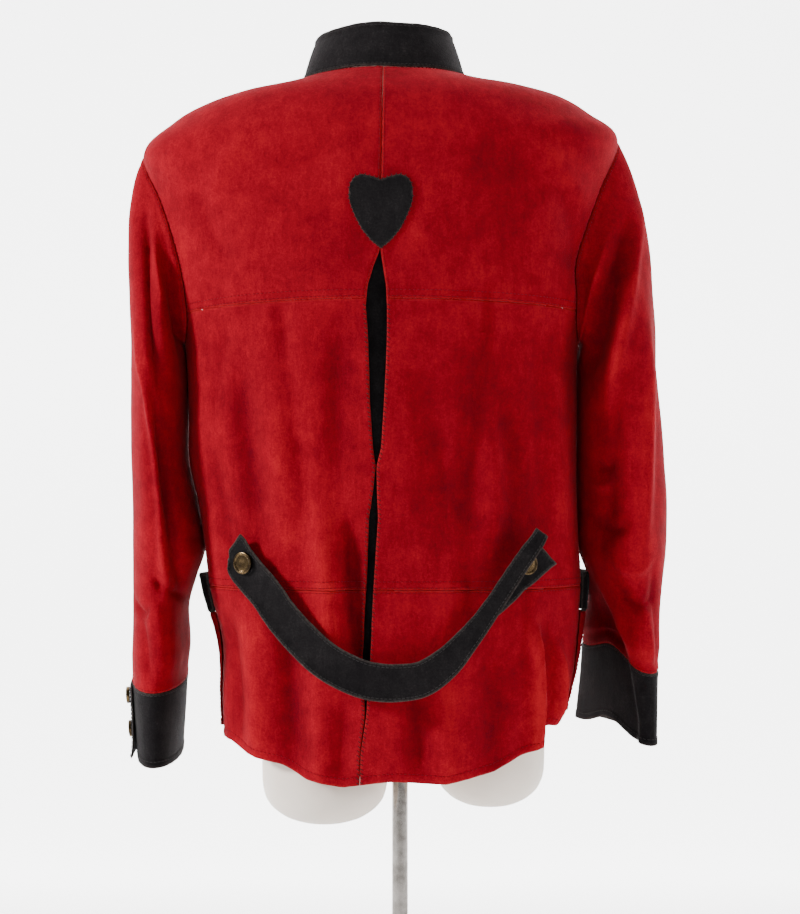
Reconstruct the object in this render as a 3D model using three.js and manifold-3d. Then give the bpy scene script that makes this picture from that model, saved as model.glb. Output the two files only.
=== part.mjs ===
// Suede jacket worn by a limbless dress form on a pole and a round base.
// Millimetres, +Z up. The back of the jacket faces -Y and its fronts face +Y.
// The origin is the centre of the underside of the base, on the axis of the pole.
// Left and right are the wearer's: left is -X.

import * as THREE from 'three';
import { mergeVertices } from 'three/addons/utils/BufferGeometryUtils.js';
import Module from 'manifold-3d';

// ---------------------------------------------------------------- sizes
const CLOTH = 2;             // thickness of the suede
const SEAM_GAP = 0.3;        // between two pieces sewn edge to edge
const LAY_GAP = 0.4;         // between two pieces lying on each other
const HANG = -3;             // the jacket hangs this far to the left of the pole
const LAP = 26;              // overlap of the two fronts
const COLLAR_HEIGHT = 45;
const BUTTON_DIAMETER = 21;
const POLE_DIAMETER = 16;
const BASE_DIAMETER = 300;
const BASE_HEIGHT = 10;

// Heights as steps of the torso table below.
const WAIST_SEAM = 3;
const ARMPIT = 7;
const SHOULDER_POINT = 11;
const NECK = 16;
const YOKE_PART = 0.1464;    // height of the yoke seam within the armhole
const YOKE_SEAM = ARMPIT + (SHOULDER_POINT - ARMPIT) * YOKE_PART;

// The torso, one row per ring from the hem to the neck. side, rear and fore are
// the heights of the ring at the side, the centre back and the centre front,
// drop is how much lower its left side is; half is half its width, deep and
// bulge its depths behind and in front of the middle plane, shift its sideways
// place and square the power of its superellipse.
const TORSO = [
  { side: 425, rear: 392, fore: 400, drop: 0, half: 168, deep: 112, bulge: 118, shift: -3, square: 2.2 },
  { side: 470, rear: 452, fore: 456, drop: 0, half: 173, deep: 115, bulge: 120, shift: 0, square: 2.2 },
  { side: 520, rear: 514, fore: 514, drop: 0, half: 176, deep: 118, bulge: 121, shift: 2, square: 2.2 },
  { side: 573, rear: 574, fore: 574, drop: 0, half: 183.5, deep: 117, bulge: 121, shift: -2.5, square: 2.3 },
  { side: 635, rear: 636, fore: 636, drop: 0, half: 187, deep: 115, bulge: 123, shift: -8, square: 2.3 },
  { side: 694, rear: 697, fore: 697, drop: 0, half: 193.5, deep: 115, bulge: 126, shift: -13.5, square: 2.3 },
  { side: 753, rear: 758, fore: 757, drop: 0, half: 194, deep: 117, bulge: 129, shift: -14, square: 2.3 },
  { side: 812, rear: 820, fore: 814, drop: 1, half: 195, deep: 120, bulge: 131, shift: -14.5, square: 2.3 },
  { side: 863, rear: 869, fore: 860, drop: 4, half: 202, deep: 122, bulge: 131, shift: -16, square: 2.3 },
  { side: 914, rear: 917, fore: 902, drop: 8, half: 211, deep: 122, bulge: 127, shift: -17, square: 2.3 },
  { side: 965, rear: 962, fore: 942, drop: 12, half: 222, deep: 120, bulge: 120, shift: -17, square: 2.3 },
  { side: 1016, rear: 1003, fore: 974, drop: 15, half: 236, deep: 116, bulge: 110, shift: -16, square: 2.3 },
  { side: 1040, rear: 1028, fore: 990, drop: 10, half: 208, deep: 112, bulge: 102, shift: -16, square: 2.25 },
  { side: 1056, rear: 1046, fore: 1000, drop: 9, half: 180, deep: 106, bulge: 96, shift: -15, square: 2.2 },
  { side: 1066, rear: 1058, fore: 1006, drop: 7, half: 146, deep: 98, bulge: 90, shift: -14, square: 2.15 },
  { side: 1071, rear: 1067, fore: 1009, drop: 6, half: 112, deep: 89, bulge: 84, shift: -13.5, square: 2.1 },
  { side: 1077, rear: 1076, fore: 1012, drop: 4, half: 82, deep: 78, bulge: 76, shift: -13, square: 2 },
];

// Height of the hem round the body: turn is the angle from the centre back,
// positive to the right.
const HEM = [
  { turn: -180, high: 402 },
  { turn: -150, high: 402 },
  { turn: -120, high: 412 },
  { turn: -90, high: 424 },
  { turn: -70, high: 423 },
  { turn: -55, high: 415 },
  { turn: -38, high: 406 },
  { turn: -28, high: 394 },
  { turn: -15, high: 387 },
  { turn: 0, high: 393 },
  { turn: 15, high: 390 },
  { turn: 33, high: 400 },
  { turn: 47, high: 416 },
  { turn: 60, high: 438 },
  { turn: 75, high: 447 },
  { turn: 90, high: 445 },
  { turn: 120, high: 426 },
  { turn: 150, high: 406 },
  { turn: 180, high: 402 },
];

// The open pleat at the centre back: its two edges at each height.
const PLEAT = [
  { high: 385, left: -37, right: -30 },
  { high: 400, left: -35.5, right: -33 },
  { high: 420, left: -35, right: -34 },
  { high: 457, left: -30, right: -29 },
  { high: 513, left: -33, right: -25.4 },
  { high: 547, left: -31.5, right: -24 },
  { high: 594, left: -28.2, right: -21.2 },
  { high: 642, left: -26.3, right: -17.9 },
  { high: 666, left: -22.6, right: -18.8 },
  { high: 691, left: -19.9, right: -19.4 },
  { high: 709, left: -22.6, right: -15 },
  { high: 753, left: -25.4, right: -12.2 },
  { high: 789, left: -26.3, right: -10.3 },
  { high: 818, left: -27.3, right: -9.4 },
  { high: 842, left: -29, right: -9.4 },
  { high: 861, left: -27.3, right: -10.3 },
  { high: 880, left: -21.6, right: -13.2 },
  { high: 895, left: -15.5, right: -15.5 },
  { high: 960, left: -15, right: -15 },
  { high: 1076, left: -13, right: -13 },
];

// The largest folds of the cloth, each a soft line through three places given
// across and up, with its half width and its height (minus is a trough).
const FOLDS = [
  { across: [-48, -43, -37], up: [640, 577, 500], wide: 13, tall: -6 },
  { across: [-72, -68, -62], up: [640, 577, 500], wide: 16, tall: 4 },
  { across: [-154, -142, -133], up: [790, 698, 625], wide: 18, tall: -4 },
  { across: [-54, -58, -56], up: [824, 732, 665], wide: 18, tall: -3 },
  { across: [78, 72, 69], up: [808, 682, 600], wide: 18, tall: -3.5 },
  { across: [98, 112, 108], up: [749, 682, 610], wide: 18, tall: -3.5 },
  { across: [14, 19, 24], up: [490, 450, 400], wide: 16, tall: -4 },
  { across: [126, 133, 127], up: [551, 490, 410], wide: 13, tall: 6 },
  { across: [-107, -102, -99], up: [545, 480, 400], wide: 17, tall: -5 },
  { across: [-140, -136, -131], up: [545, 480, 400], wide: 17, tall: 4 },
];

// Half openings of the armholes, in degrees either side of the side seam.
const ARMHOLE = {
  left: { rear: 21, fore: 26, fade: 0.8 },
  right: { rear: 20, fore: 26, fade: 1.05 },
};

// Sleeve sections from under the armpit to the cuff: place, half sizes, turn of
// the flattened tube in degrees and how much higher its front is than its back.
const SLEEVES = {
  left: [
    { high: 790, across: -236.8, depth: 2, halfX: 25.5, halfY: 72, turn: 0, tilt: 0 },
    { high: 740, across: -237.3, depth: 4, halfX: 26, halfY: 71, turn: 0, tilt: 0 },
    { high: 697, across: -237.3, depth: 6, halfX: 26, halfY: 70, turn: 0, tilt: 0 },
    { high: 655, across: -232.5, depth: 8, halfX: 30, halfY: 68, turn: 0, tilt: 0 },
    { high: 612, across: -228.8, depth: 11, halfX: 33.6, halfY: 67, turn: 0, tilt: 2 },
    { high: 580, across: -233.5, depth: 14, halfX: 29, halfY: 66, turn: 0, tilt: 4 },
    { high: 550, across: -237.5, depth: 17, halfX: 25, halfY: 66, turn: 0, tilt: 6 },
    { high: 515, across: -237.5, depth: 20, halfX: 26, halfY: 65, turn: 0, tilt: 8 },
    { high: 478, across: -239, depth: 22, halfX: 27, halfY: 64, turn: 0, tilt: 10 },
    { high: 402, across: -239, depth: 25, halfX: 22, halfY: 62, turn: 0, tilt: 8 },
  ],
  right: [
    { high: 790, across: 219.5, depth: 2, halfX: 37, halfY: 71, turn: 0, tilt: 0 },
    { high: 740, across: 222, depth: 4, halfX: 39.5, halfY: 70, turn: 0, tilt: 0 },
    { high: 697, across: 223.5, depth: 6, halfX: 41.5, halfY: 69, turn: 0, tilt: 0 },
    { high: 655, across: 225, depth: 8, halfX: 42.5, halfY: 68, turn: 2, tilt: 0 },
    { high: 612, across: 225.5, depth: 10, halfX: 41, halfY: 67, turn: 5, tilt: 2 },
    { high: 580, across: 228.5, depth: 11, halfX: 33, halfY: 64, turn: 8, tilt: 5 },
    { high: 550, across: 228, depth: 12, halfX: 28, halfY: 65, turn: 13, tilt: 8 },
    { high: 525, across: 225, depth: 13, halfX: 26, halfY: 67, turn: 18, tilt: 10 },
    { high: 500, across: 224, depth: 14, halfX: 25, halfY: 67, turn: 21, tilt: 12 },
    { high: 425, across: 220, depth: 16, halfX: 22, halfY: 68, turn: 26, tilt: 8 },
  ],
};

// Heart patch: lower and upper outline over its point, at each place across.
const HEART = { across: -15, foot: 896, halfWidth: 30 };
const HEART_OUTLINE = [
  { part: 0, lower: 0, upper: 65 },
  { part: 0.3, lower: 7, upper: 68 },
  { part: 0.6, lower: 18, upper: 70 },
  { part: 0.82, lower: 31, upper: 67.5 },
  { part: 0.95, lower: 41, upper: 62 },
  { part: 1, lower: 48, upper: 55 },
];

// Patch pockets on the fronts, from the side seam towards the centre front.
const POCKET = { from: 91.5, to: 146, low: 0.25, high: 3.2, band: 2.5, gape: 12 };

// Middle line of the half belt: across, up, distance off the back, twist about
// that line and width. Its right end is folded lengthwise, so it looks narrow.
const BELT = [
  { across: -157, up: 611, away: 5, twist: 0, wide: 30 },
  { across: -145, up: 597, away: 5, twist: 0, wide: 36 },
  { across: -121, up: 572, away: 7, twist: 0, wide: 36 },
  { across: -105, up: 551, away: 9, twist: 0, wide: 36 },
  { across: -85, up: 529, away: 11, twist: 0, wide: 36 },
  { across: -63, up: 509, away: 12, twist: 0, wide: 36 },
  { across: -36, up: 495, away: 13, twist: 0, wide: 36 },
  { across: -14, up: 490, away: 13.5, twist: 0, wide: 36 },
  { across: 9, up: 490.5, away: 14, twist: 0, wide: 35 },
  { across: 26, up: 495, away: 14.5, twist: -2, wide: 33 },
  { across: 45, up: 509, away: 14.5, twist: -5, wide: 29 },
  { across: 60, up: 525.5, away: 14, twist: -8, wide: 24 },
  { across: 74, up: 542.5, away: 13, twist: -10, wide: 20 },
  { across: 86, up: 559, away: 12, twist: -12, wide: 18 },
  { across: 97, up: 575.5, away: 11.5, twist: -12, wide: 17.5 },
  { across: 107, up: 591, away: 11.5, twist: -12, wide: 17 },
  { across: 117.5, up: 607, away: 11.5, twist: -11, wide: 16.5 },
  { across: 127, up: 620, away: 10, twist: -8, wide: 15 },
  { across: 132, up: 627.5, away: 8, twist: -4, wide: 13 },
];

// Corners of the lower half of the folded right end, flat on the back.
const FLAP = [
  { across: 132, up: 622 },
  { across: 151, up: 597 },
  { across: 88, up: 543.5 },
  { across: 84, up: 548 },
];
const BUTTONED = { across: 122.5, up: 598 };
const FLAP_OFF = 1.1;

// Dress form rings, from between the thighs to the top of the neck.
const FORM = [
  { high: 426, half: 118, deep: 76, bulge: 72, shift: 6 },
  { high: 440, half: 138, deep: 92, bulge: 88, shift: 6 },
  { high: 470, half: 146, deep: 99, bulge: 94, shift: 5 },
  { high: 520, half: 150, deep: 103, bulge: 96, shift: 4 },
  { high: 580, half: 146, deep: 99, bulge: 96, shift: 0 },
  { high: 650, half: 136, deep: 90, bulge: 96, shift: -4 },
  { high: 720, half: 140, deep: 90, bulge: 102, shift: -10 },
  { high: 800, half: 156, deep: 98, bulge: 112, shift: -13 },
  { high: 870, half: 168, deep: 104, bulge: 112, shift: -15 },
  { high: 930, half: 180, deep: 105, bulge: 100, shift: -16 },
  { high: 975, half: 184, deep: 101, bulge: 88, shift: -16 },
  { high: 1005, half: 176, deep: 94, bulge: 70, shift: -16 },
  { high: 1028, half: 154, deep: 86, bulge: 56, shift: -16 },
  { high: 1043, half: 116, deep: 78, bulge: 48, shift: -15 },
  { high: 1053, half: 82, deep: 70, bulge: 45, shift: -14 },
  { high: 1066, half: 62, deep: 61, bulge: 44, shift: -13 },
  { high: 1085, half: 56, deep: 56, bulge: 43, shift: -13 },
  { high: 1098, half: 53, deep: 52, bulge: 42, shift: -13 },
  { high: 1104, half: 45, deep: 43, bulge: 36, shift: -13 },
];
const THIGHS = [
  { name: 'left', across: -71, depth: -28, half: 63, deep: 66, foot: 341 },
  { name: 'right', across: 93, depth: 16, half: 56, deep: 64, foot: 350 },
];

// ---------------------------------------------------------------- colours
function finish(color, roughness, metalness = 0) {
  return new THREE.MeshStandardMaterial({ color, roughness, metalness });
}
const redSuede = () => finish(0xb01523, 0.95);
const blackSuede = () => finish(0x252326, 0.95);
const brass = () => finish(0x6d5a3a, 0.4, 0.9);
const formCream = () => finish(0xddd3c8, 0.7);
const chrome = () => finish(0xc8c8ca, 0.15, 1);

// ---------------------------------------------------------------- reading tables
const DEG = Math.PI / 180;

function clamp(value, low, high) {
  return Math.min(high, Math.max(low, value));
}

function mix(from, to, part) {
  return from + (to - from) * part;
}

function smooth(value) {
  const part = clamp(value, 0, 1);
  return part * part * (3 - 2 * part);
}

// Smooth value of a column between the rows of a table.
function curveThrough(rows, column, place) {
  const last = rows.length - 1;
  const index = clamp(Math.floor(place), 0, last - 1);
  const part = clamp(place, 0, last) - index;
  const at = (row) => rows[clamp(row, 0, last)][column];
  const [before, start, end, after] = [at(index - 1), at(index), at(index + 1), at(index + 2)];
  const slopeIn = (end - before) / 2;
  const slopeOut = (after - start) / 2;
  const square = part * part;
  const cube = square * part;
  return (2 * cube - 3 * square + 1) * start + (cube - 2 * square + part) * slopeIn
    + (3 * square - 2 * cube) * end + (cube - square) * slopeOut;
}

// Straight-line value of a column where another column has the given value.
function lookUp(rows, key, value, column) {
  let row = 0;
  while (row < rows.length - 2 && rows[row + 1][key] < value) row += 1;
  const [low, high] = [rows[row], rows[row + 1]];
  const part = clamp((value - low[key]) / (high[key] - low[key]), 0, 1);
  return mix(low[column], high[column], part);
}

function evenly(from, to, count) {
  return Array.from({ length: count + 1 }, (_, index) => mix(from, to, index / count));
}

// ---------------------------------------------------------------- torso surface
function signedPower(value, power) {
  return Math.sign(value) * Math.abs(value) ** power;
}

function torsoRing(level) {
  const ring = {};
  for (const column of Object.keys(TORSO[0])) {
    ring[column] = curveThrough(TORSO, column, level);
  }
  ring.shift += HANG;
  return ring;
}

function hemHeight(turn) {
  return lookUp(HEM, 'turn', turn, 'high');
}

// How far the folds raise the cloth at a place on the back.
function foldHeight(across, up) {
  let sum = 0;
  for (const fold of FOLDS) {
    const [top, middle, bottom] = fold.up;
    const part = (top - up) / (top - bottom);
    const reach = smooth((part + 0.15) / 0.3) * smooth((1.25 - part) / 0.3);
    if (reach <= 0) continue;
    const bend = (top - middle) / (top - bottom);
    const [first, second, third] = fold.across;
    const line = part < bend
      ? mix(first, second, part / bend)
      : mix(second, third, (part - bend) / (1 - bend));
    const off = (across - HANG - line) / fold.wide;
    sum += fold.tall * reach * Math.exp(-off * off);
  }
  return sum;
}

// A point of the torso's outer face without its folds: turn is the angle from
// the centre back, level the step of the torso table.
function plainTorso(turn, level) {
  const ring = torsoRing(level);
  const [sine, cosine] = [Math.sin(turn * DEG), Math.cos(turn * DEG)];
  const power = 2 / ring.square;
  const x = ring.shift + ring.half * signedPower(sine, power);
  const depth = cosine > 0 ? ring.deep : ring.bulge;
  const y = -depth * signedPower(cosine, power);
  const end = cosine > 0 ? ring.rear : ring.fore;
  let z = mix(ring.side, end, cosine * cosine);
  z -= ring.drop * Math.max(0, -sine) ** 2;
  const fade = clamp(1 - level / 2, 0, 1) ** 2;
  const flat = mix(TORSO[0].side, cosine > 0 ? TORSO[0].rear : TORSO[0].fore, cosine * cosine);
  z += (hemHeight(turn) - flat) * fade;
  return new THREE.Vector3(x, y, z);
}

function torsoNormal(turn, level) {
  const step = 0.5;
  const across = plainTorso(turn + step, level).sub(plainTorso(turn - step, level));
  const up = plainTorso(turn, Math.min(NECK, level + 0.05));
  up.sub(plainTorso(turn, Math.max(0, level - 0.05)));
  return across.cross(up).normalize();
}

// A point of the torso, off the cloth's outer face by a distance.
function torso(turn, level, off = 0) {
  const point = plainTorso(turn, level);
  const fold = Math.abs(turn) < 88 ? foldHeight(point.x, point.z) * smooth((88 - Math.abs(turn)) / 12) : 0;
  return point.addScaledVector(torsoNormal(turn, level), fold + off);
}

// The angle of the torso at a place across its back.
function turnAcross(x, level) {
  const ring = torsoRing(level);
  const part = clamp((x + HANG - ring.shift) / ring.half, -1, 1);
  return Math.asin(signedPower(part, ring.square / 2)) / DEG;
}

// The step of the table at a height and a place across the back.
function levelAt(across, up) {
  let [low, high] = [0, NECK];
  for (let step = 0; step < 26; step += 1) {
    const middle = (low + high) / 2;
    if (plainTorso(turnAcross(across, middle), middle).z < up) low = middle;
    else high = middle;
  }
  return (low + high) / 2;
}

// A point over the back, from its place across and up.
function backPoint(across, up, off) {
  const level = levelAt(across, up);
  return torso(turnAcross(across, level), level, off);
}

// Edge of the armhole: how far it is from the side seam, in degrees.
function armholeOpening(side, face, level) {
  const part = clamp((level - ARMPIT) / (SHOULDER_POINT - ARMPIT), 0, 1);
  const scoop = 2 * part ** 0.7 - 1;
  const fade = scoop < 0 ? 0.5 : ARMHOLE[side].fade;
  return ARMHOLE[side][face] * (1 - scoop * scoop) ** fade;
}

function pleatEdge(side, level) {
  const ring = torsoRing(level);
  const across = lookUp(PLEAT, 'high', ring.rear, side);
  const sign = side === 'left' ? -1 : 1;
  return turnAcross(across + sign * SEAM_GAP / 2, level);
}

// Steps of the armhole, closer together at its ends.
const ARMHOLE_STEPS = 12;
const armholeLevels = Array.from({ length: ARMHOLE_STEPS + 1 }, (_, step) => {
  const part = (1 - Math.cos(Math.PI * step / ARMHOLE_STEPS)) / 2;
  return mix(ARMPIT, SHOULDER_POINT, part);
});
armholeLevels[3] = YOKE_SEAM;

// ---------------------------------------------------------------- solids
// Turns a mesh inside out if its faces point in, and drops doubled vertices.
function closedGeometry(points, faces) {
  let volume = 0;
  for (const [a, b, c] of faces) {
    volume += points[a].dot(points[b].clone().cross(points[c]));
  }
  const order = volume < 0 ? faces.map(([a, b, c]) => [a, c, b]) : faces;
  const geometry = new THREE.BufferGeometry();
  const flat = points.flatMap((point) => [point.x, point.y, point.z]);
  geometry.setAttribute('position', new THREE.Float32BufferAttribute(flat, 3));
  geometry.setIndex(order.flat());
  const merged = mergeVertices(geometry, 1e-4);
  merged.computeVertexNormals();
  return merged;
}

// A wall between two skins of the same grid: skin(column, row, side) gives a
// point, side 0 on the outside and 1 on the inside. Rings close on themselves.
function wall(columns, rows, skin, ring = false) {
  const points = [];
  const wide = ring ? columns : columns + 1;
  for (let side = 0; side < 2; side += 1) {
    for (let row = 0; row <= rows; row += 1) {
      for (let column = 0; column < wide; column += 1) points.push(skin(column, row, side));
    }
  }
  const layer = wide * (rows + 1);
  const at = (column, row, side) => side * layer + row * wide + (column % wide);
  const faces = [];
  const quad = (a, b, c, d) => faces.push([a, b, c], [a, c, d]);
  for (let row = 0; row < rows; row += 1) {
    for (let column = 0; column < columns; column += 1) {
      quad(at(column, row, 0), at(column + 1, row, 0), at(column + 1, row + 1, 0), at(column, row + 1, 0));
      quad(at(column, row, 1), at(column, row + 1, 1), at(column + 1, row + 1, 1), at(column + 1, row, 1));
    }
    if (!ring) {
      quad(at(0, row, 0), at(0, row + 1, 0), at(0, row + 1, 1), at(0, row, 1));
      quad(at(columns, row, 0), at(columns, row, 1), at(columns, row + 1, 1), at(columns, row + 1, 0));
    }
  }
  for (let column = 0; column < columns; column += 1) {
    quad(at(column, 0, 0), at(column, 0, 1), at(column + 1, 0, 1), at(column + 1, 0, 0));
    quad(at(column, rows, 0), at(column + 1, rows, 0), at(column + 1, rows, 1), at(column, rows, 1));
  }
  return closedGeometry(points, faces);
}

// A solid through closed sections of equal length, with its two ends capped.
function loft(sections) {
  const count = sections[0].length;
  const points = sections.flat();
  const faces = [];
  for (let row = 0; row < sections.length - 1; row += 1) {
    for (let column = 0; column < count; column += 1) {
      const next = (column + 1) % count;
      const [a, b] = [row * count + column, row * count + next];
      faces.push([a, b, b + count], [a, b + count, a + count]);
    }
  }
  for (const row of [0, sections.length - 1]) {
    const middle = new THREE.Vector3();
    sections[row].forEach((point) => middle.add(point));
    points.push(middle.divideScalar(count));
    for (let column = 0; column < count; column += 1) {
      const [a, b] = [row * count + column, row * count + (column + 1) % count];
      faces.push(row === 0 ? [points.length - 1, b, a] : [points.length - 1, a, b]);
    }
  }
  return closedGeometry(points, faces);
}

const jacket = new THREE.Group();
const stand = new THREE.Group();
function add(group, name, geometry, material) {
  const mesh = new THREE.Mesh(geometry, material);
  mesh.name = name;
  group.add(mesh);
  return mesh;
}

// ---------------------------------------------------------------- torso panels
// A panel on chosen levels: turnAt gives the angle of each column at a level.
function panel(levels, columns, turnAt, offAt = () => 0) {
  const gap = SEAM_GAP / 2;
  const rows = levels.map((level, index) => {
    if (index > 0 && index < levels.length - 1) return level;
    const step = index === 0 ? 1 : -1;
    const rise = torso(0, level + 0.01 * step).distanceTo(torso(0, level)) * 100;
    return level + step * gap / rise;
  });
  return wall(columns, rows.length - 1, (column, row, side) => {
    const level = rows[row];
    return torso(turnAt(column, level), level, offAt(column) - side * CLOTH);
  });
}

const mirrorSide = { left: -1, right: 1 };
const SEAM_ANGLE = 0.05;

function sideEdge(side, face) {
  const sign = mirrorSide[side];
  const away = face === 'rear' ? -1 : 1;
  return (level) => {
    const hole = level > ARMPIT && level < SHOULDER_POINT ? armholeOpening(side, face, level) : 0;
    return sign * (90 + away * (SEAM_ANGLE + hole));
  };
}

const BACK_COLUMNS = 10;
const FRONT_COLUMNS = 12;

for (const side of ['left', 'right']) {
  const outer = sideEdge(side, 'rear');
  const acrossBack = (column, level) => (
    mix(pleatEdge(side, level), outer(level), column / BACK_COLUMNS)
  );
  const yokeLevels = [...armholeLevels.slice(3), 12, 13, 14, 15, NECK];
  add(jacket, `back_yoke_${side}`, panel(yokeLevels, BACK_COLUMNS, acrossBack), redSuede());

  const panelLevels = [...evenly(WAIST_SEAM, ARMPIT, 8), ...armholeLevels.slice(1, 4)];
  add(jacket, `back_panel_${side}`, panel(panelLevels, BACK_COLUMNS, acrossBack), redSuede());

  const skirtLevels = evenly(0, WAIST_SEAM, 7);
  add(jacket, `back_skirt_${side}`, panel(skirtLevels, BACK_COLUMNS, acrossBack), redSuede());

  // The right front laps over the left one and steps out just before it does.
  const frontSide = sideEdge(side, 'fore');
  const acrossFront = (column, level) => {
    const ring = torsoRing(level);
    const lap = Math.asin((LAP / 2 / ring.half) ** (ring.square / 2)) / DEG;
    const stops = {
      9: 180 - 2.4 * lap, 10: 180 - 1.3 * lap, 11: 180 - 0.1 * lap, 12: 180 + lap,
    };
    const turn = stops[column] ?? mix(Math.abs(frontSide(level)), stops[9], column / 9);
    return mirrorSide[side] * turn;
  };
  const lapOff = (column) => (side === 'right' && column > 9 ? CLOTH + LAY_GAP + 0.2 : 0);
  const frontLevels = [
    ...evenly(0, WAIST_SEAM, 4), ...evenly(WAIST_SEAM, ARMPIT, 4).slice(1),
    ...armholeLevels.slice(1), 12, 13, 14, 15, NECK,
  ];
  add(jacket, `front_${side}`, panel(frontLevels, FRONT_COLUMNS, acrossFront, lapOff), redSuede());
}

// ---------------------------------------------------------------- pleat underlay
const underlayDepth = CLOTH + 4.5;
add(jacket, 'pleat_underlay', wall(3, 12, (column, row, side) => {
  const up = mix(432, 912, row / 12);
  const across = lookUp(PLEAT, 'high', up, 'left') * 0.5 + lookUp(PLEAT, 'high', up, 'right') * 0.5;
  return backPoint(across + mix(-24, 24, column / 3), up, -underlayDepth - side * CLOTH);
}), blackSuede());

// ---------------------------------------------------------------- heart
add(jacket, 'heart_patch', wall(12, 4, (column, row, side) => {
  const part = Math.sin((column / 6 - 1) * Math.PI / 2);
  const lower = lookUp(HEART_OUTLINE, 'part', Math.abs(part), 'lower');
  const upper = lookUp(HEART_OUTLINE, 'part', Math.abs(part), 'upper');
  const up = HEART.foot + mix(lower, upper, row / 4);
  const across = HEART.across + HEART.halfWidth * part;
  return backPoint(across, up, side === 0 ? LAY_GAP + 1.6 : LAY_GAP);
}), blackSuede());

// ---------------------------------------------------------------- stand collar
add(jacket, 'stand_collar', wall(26, 2, (column, row, side) => {
  const turn = mix(-179, 179, column / 26);
  const base = torso(turn, NECK, 0);
  const part = row / 2;
  const lean = mix(0.992, 0.81, part);
  const centre = torsoRing(NECK).shift;
  const [sine, cosine] = [Math.sin(turn * DEG), Math.cos(turn * DEG)];
  const inward = new THREE.Vector3(sine, -cosine, 0).multiplyScalar(-side * CLOTH);
  const x = centre + (base.x - centre) * lean;
  const y = base.y * mix(0.992, 0.84, part);
  const z = base.z + SEAM_GAP + 0.6 + part * COLLAR_HEIGHT * mix(1, 0.9, Math.abs(turn) / 180);
  return new THREE.Vector3(x, y, z).add(inward);
}), blackSuede());

// ---------------------------------------------------------------- sleeves
const TUBE_STEPS = 2 * ARMHOLE_STEPS;

// The first ring of a sleeve: the edge of its armhole, all round.
function armholeRing(side, step) {
  const sign = mirrorSide[side];
  const fore = step <= ARMHOLE_STEPS;
  const index = fore ? ARMHOLE_STEPS - step : step - ARMHOLE_STEPS;
  const angle = step * 360 / TUBE_STEPS * DEG;
  const level = armholeLevels[index] - 0.02 * Math.cos(angle) + 0.02 * (1 - Math.cos(angle)) / 2;
  const opening = armholeOpening(side, fore ? 'fore' : 'rear', armholeLevels[index]);
  const turn = Math.max(0, opening - 0.15 * Math.abs(Math.sin(angle))) * (fore ? 1 : -1);
  return torso(sign * (90 + turn), level, 0.3);
}

function sleeveRow(side, place) {
  const row = {};
  for (const column of Object.keys(SLEEVES[side][0])) {
    row[column] = curveThrough(SLEEVES[side], column, place);
  }
  return row;
}

// A point of a hanging sleeve section: angle 0 is outside, 90 in front.
function hangingPoint(side, angle, place) {
  const row = sleeveRow(side, place);
  const sign = mirrorSide[side];
  const localX = sign * row.halfX * Math.cos(angle * DEG);
  const localY = row.halfY * Math.sin(angle * DEG);
  const [sine, cosine] = [Math.sin(row.turn * DEG), Math.cos(row.turn * DEG)];
  return new THREE.Vector3(
    row.across + HANG + localX * cosine - localY * sine,
    row.depth + localX * sine + localY * cosine,
    row.high + row.tilt * Math.sin(angle * DEG),
  );
}

// A point of the sleeve: step goes round it, place 0 is the armhole, 1 the
// first hanging section, 2 the next one, and so on.
function plainSleeve(side, step, place) {
  const angle = step * 360 / TUBE_STEPS;
  if (place >= 1) return hangingPoint(side, angle, place - 1);
  const whole = Math.floor(step);
  const around = (value) => armholeRing(side, ((value % TUBE_STEPS) + TUBE_STEPS) % TUBE_STEPS);
  const start = around(whole).lerp(around(whole + 1), step - whole);
  const end = hangingPoint(side, angle, 0);
  const top = (1 + Math.cos(angle * DEG)) / 2;
  const reach = start.distanceTo(end);
  const lead = new THREE.Vector3(mirrorSide[side] * mix(1, 0.5, top), 0, mix(-0.2, -0.85, top));
  lead.normalize().multiplyScalar(reach * mix(0.3, 0.2, top)).add(start);
  const tail = end.clone().add(new THREE.Vector3(0, 0, reach * 0.45));
  return new THREE.CubicBezierCurve3(start, lead, tail, end).getPoint(place);
}

function sleeve(side, step, place, off = 0) {
  const point = plainSleeve(side, step, place);
  if (off === 0) return point;
  const low = Math.max(0, place - 0.02);
  const along = plainSleeve(side, step, low + 0.04).sub(plainSleeve(side, step, low));
  const around = plainSleeve(side, step + 0.5, place).sub(plainSleeve(side, step - 0.5, place));
  const normal = along.cross(around).normalize().multiplyScalar(mirrorSide[side]);
  return point.addScaledVector(normal, off);
}

const cuffPlace = SLEEVES.left.length - 1;
const cuffGap = 0.0045;
const sleevePlaces = [0, 0.14, 0.32, 0.54, 0.78, 1, 2.2, 3.4, 4.2, 5, 5.8, 6.6, 7.8, 9];
for (const side of ['left', 'right']) {
  const places = [...sleevePlaces.slice(0, -1), cuffPlace - cuffGap];
  add(jacket, `sleeve_${side}`, wall(TUBE_STEPS, places.length - 1, (column, row, skin) => (
    sleeve(side, column, places[row], -skin * CLOTH)
  ), true), redSuede());

  const cuffPlaces = [cuffPlace + cuffGap, cuffPlace + 0.5, cuffPlace + 1];
  add(jacket, `cuff_${side}`, wall(TUBE_STEPS, cuffPlaces.length - 1, (column, row, skin) => (
    sleeve(side, column, cuffPlaces[row], -skin * CLOTH)
  ), true), blackSuede());

  // The lapped end of the cuff, with its lower corner turned out a little.
  const lapStart = side === 'left' ? -2.2 : 2.2;
  add(jacket, `cuff_lap_${side}`, wall(4, 3, (column, row, skin) => {
    const place = cuffPlace + mix(0.03, 0.97, row / 3);
    const curl = 5 * (row / 3) ** 3 * (1 - column / 4) ** 2;
    const off = LAY_GAP + 0.4 + curl + (skin === 0 ? CLOTH : 0);
    return sleeve(side, lapStart + column, place, off);
  }), blackSuede());
}

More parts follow.
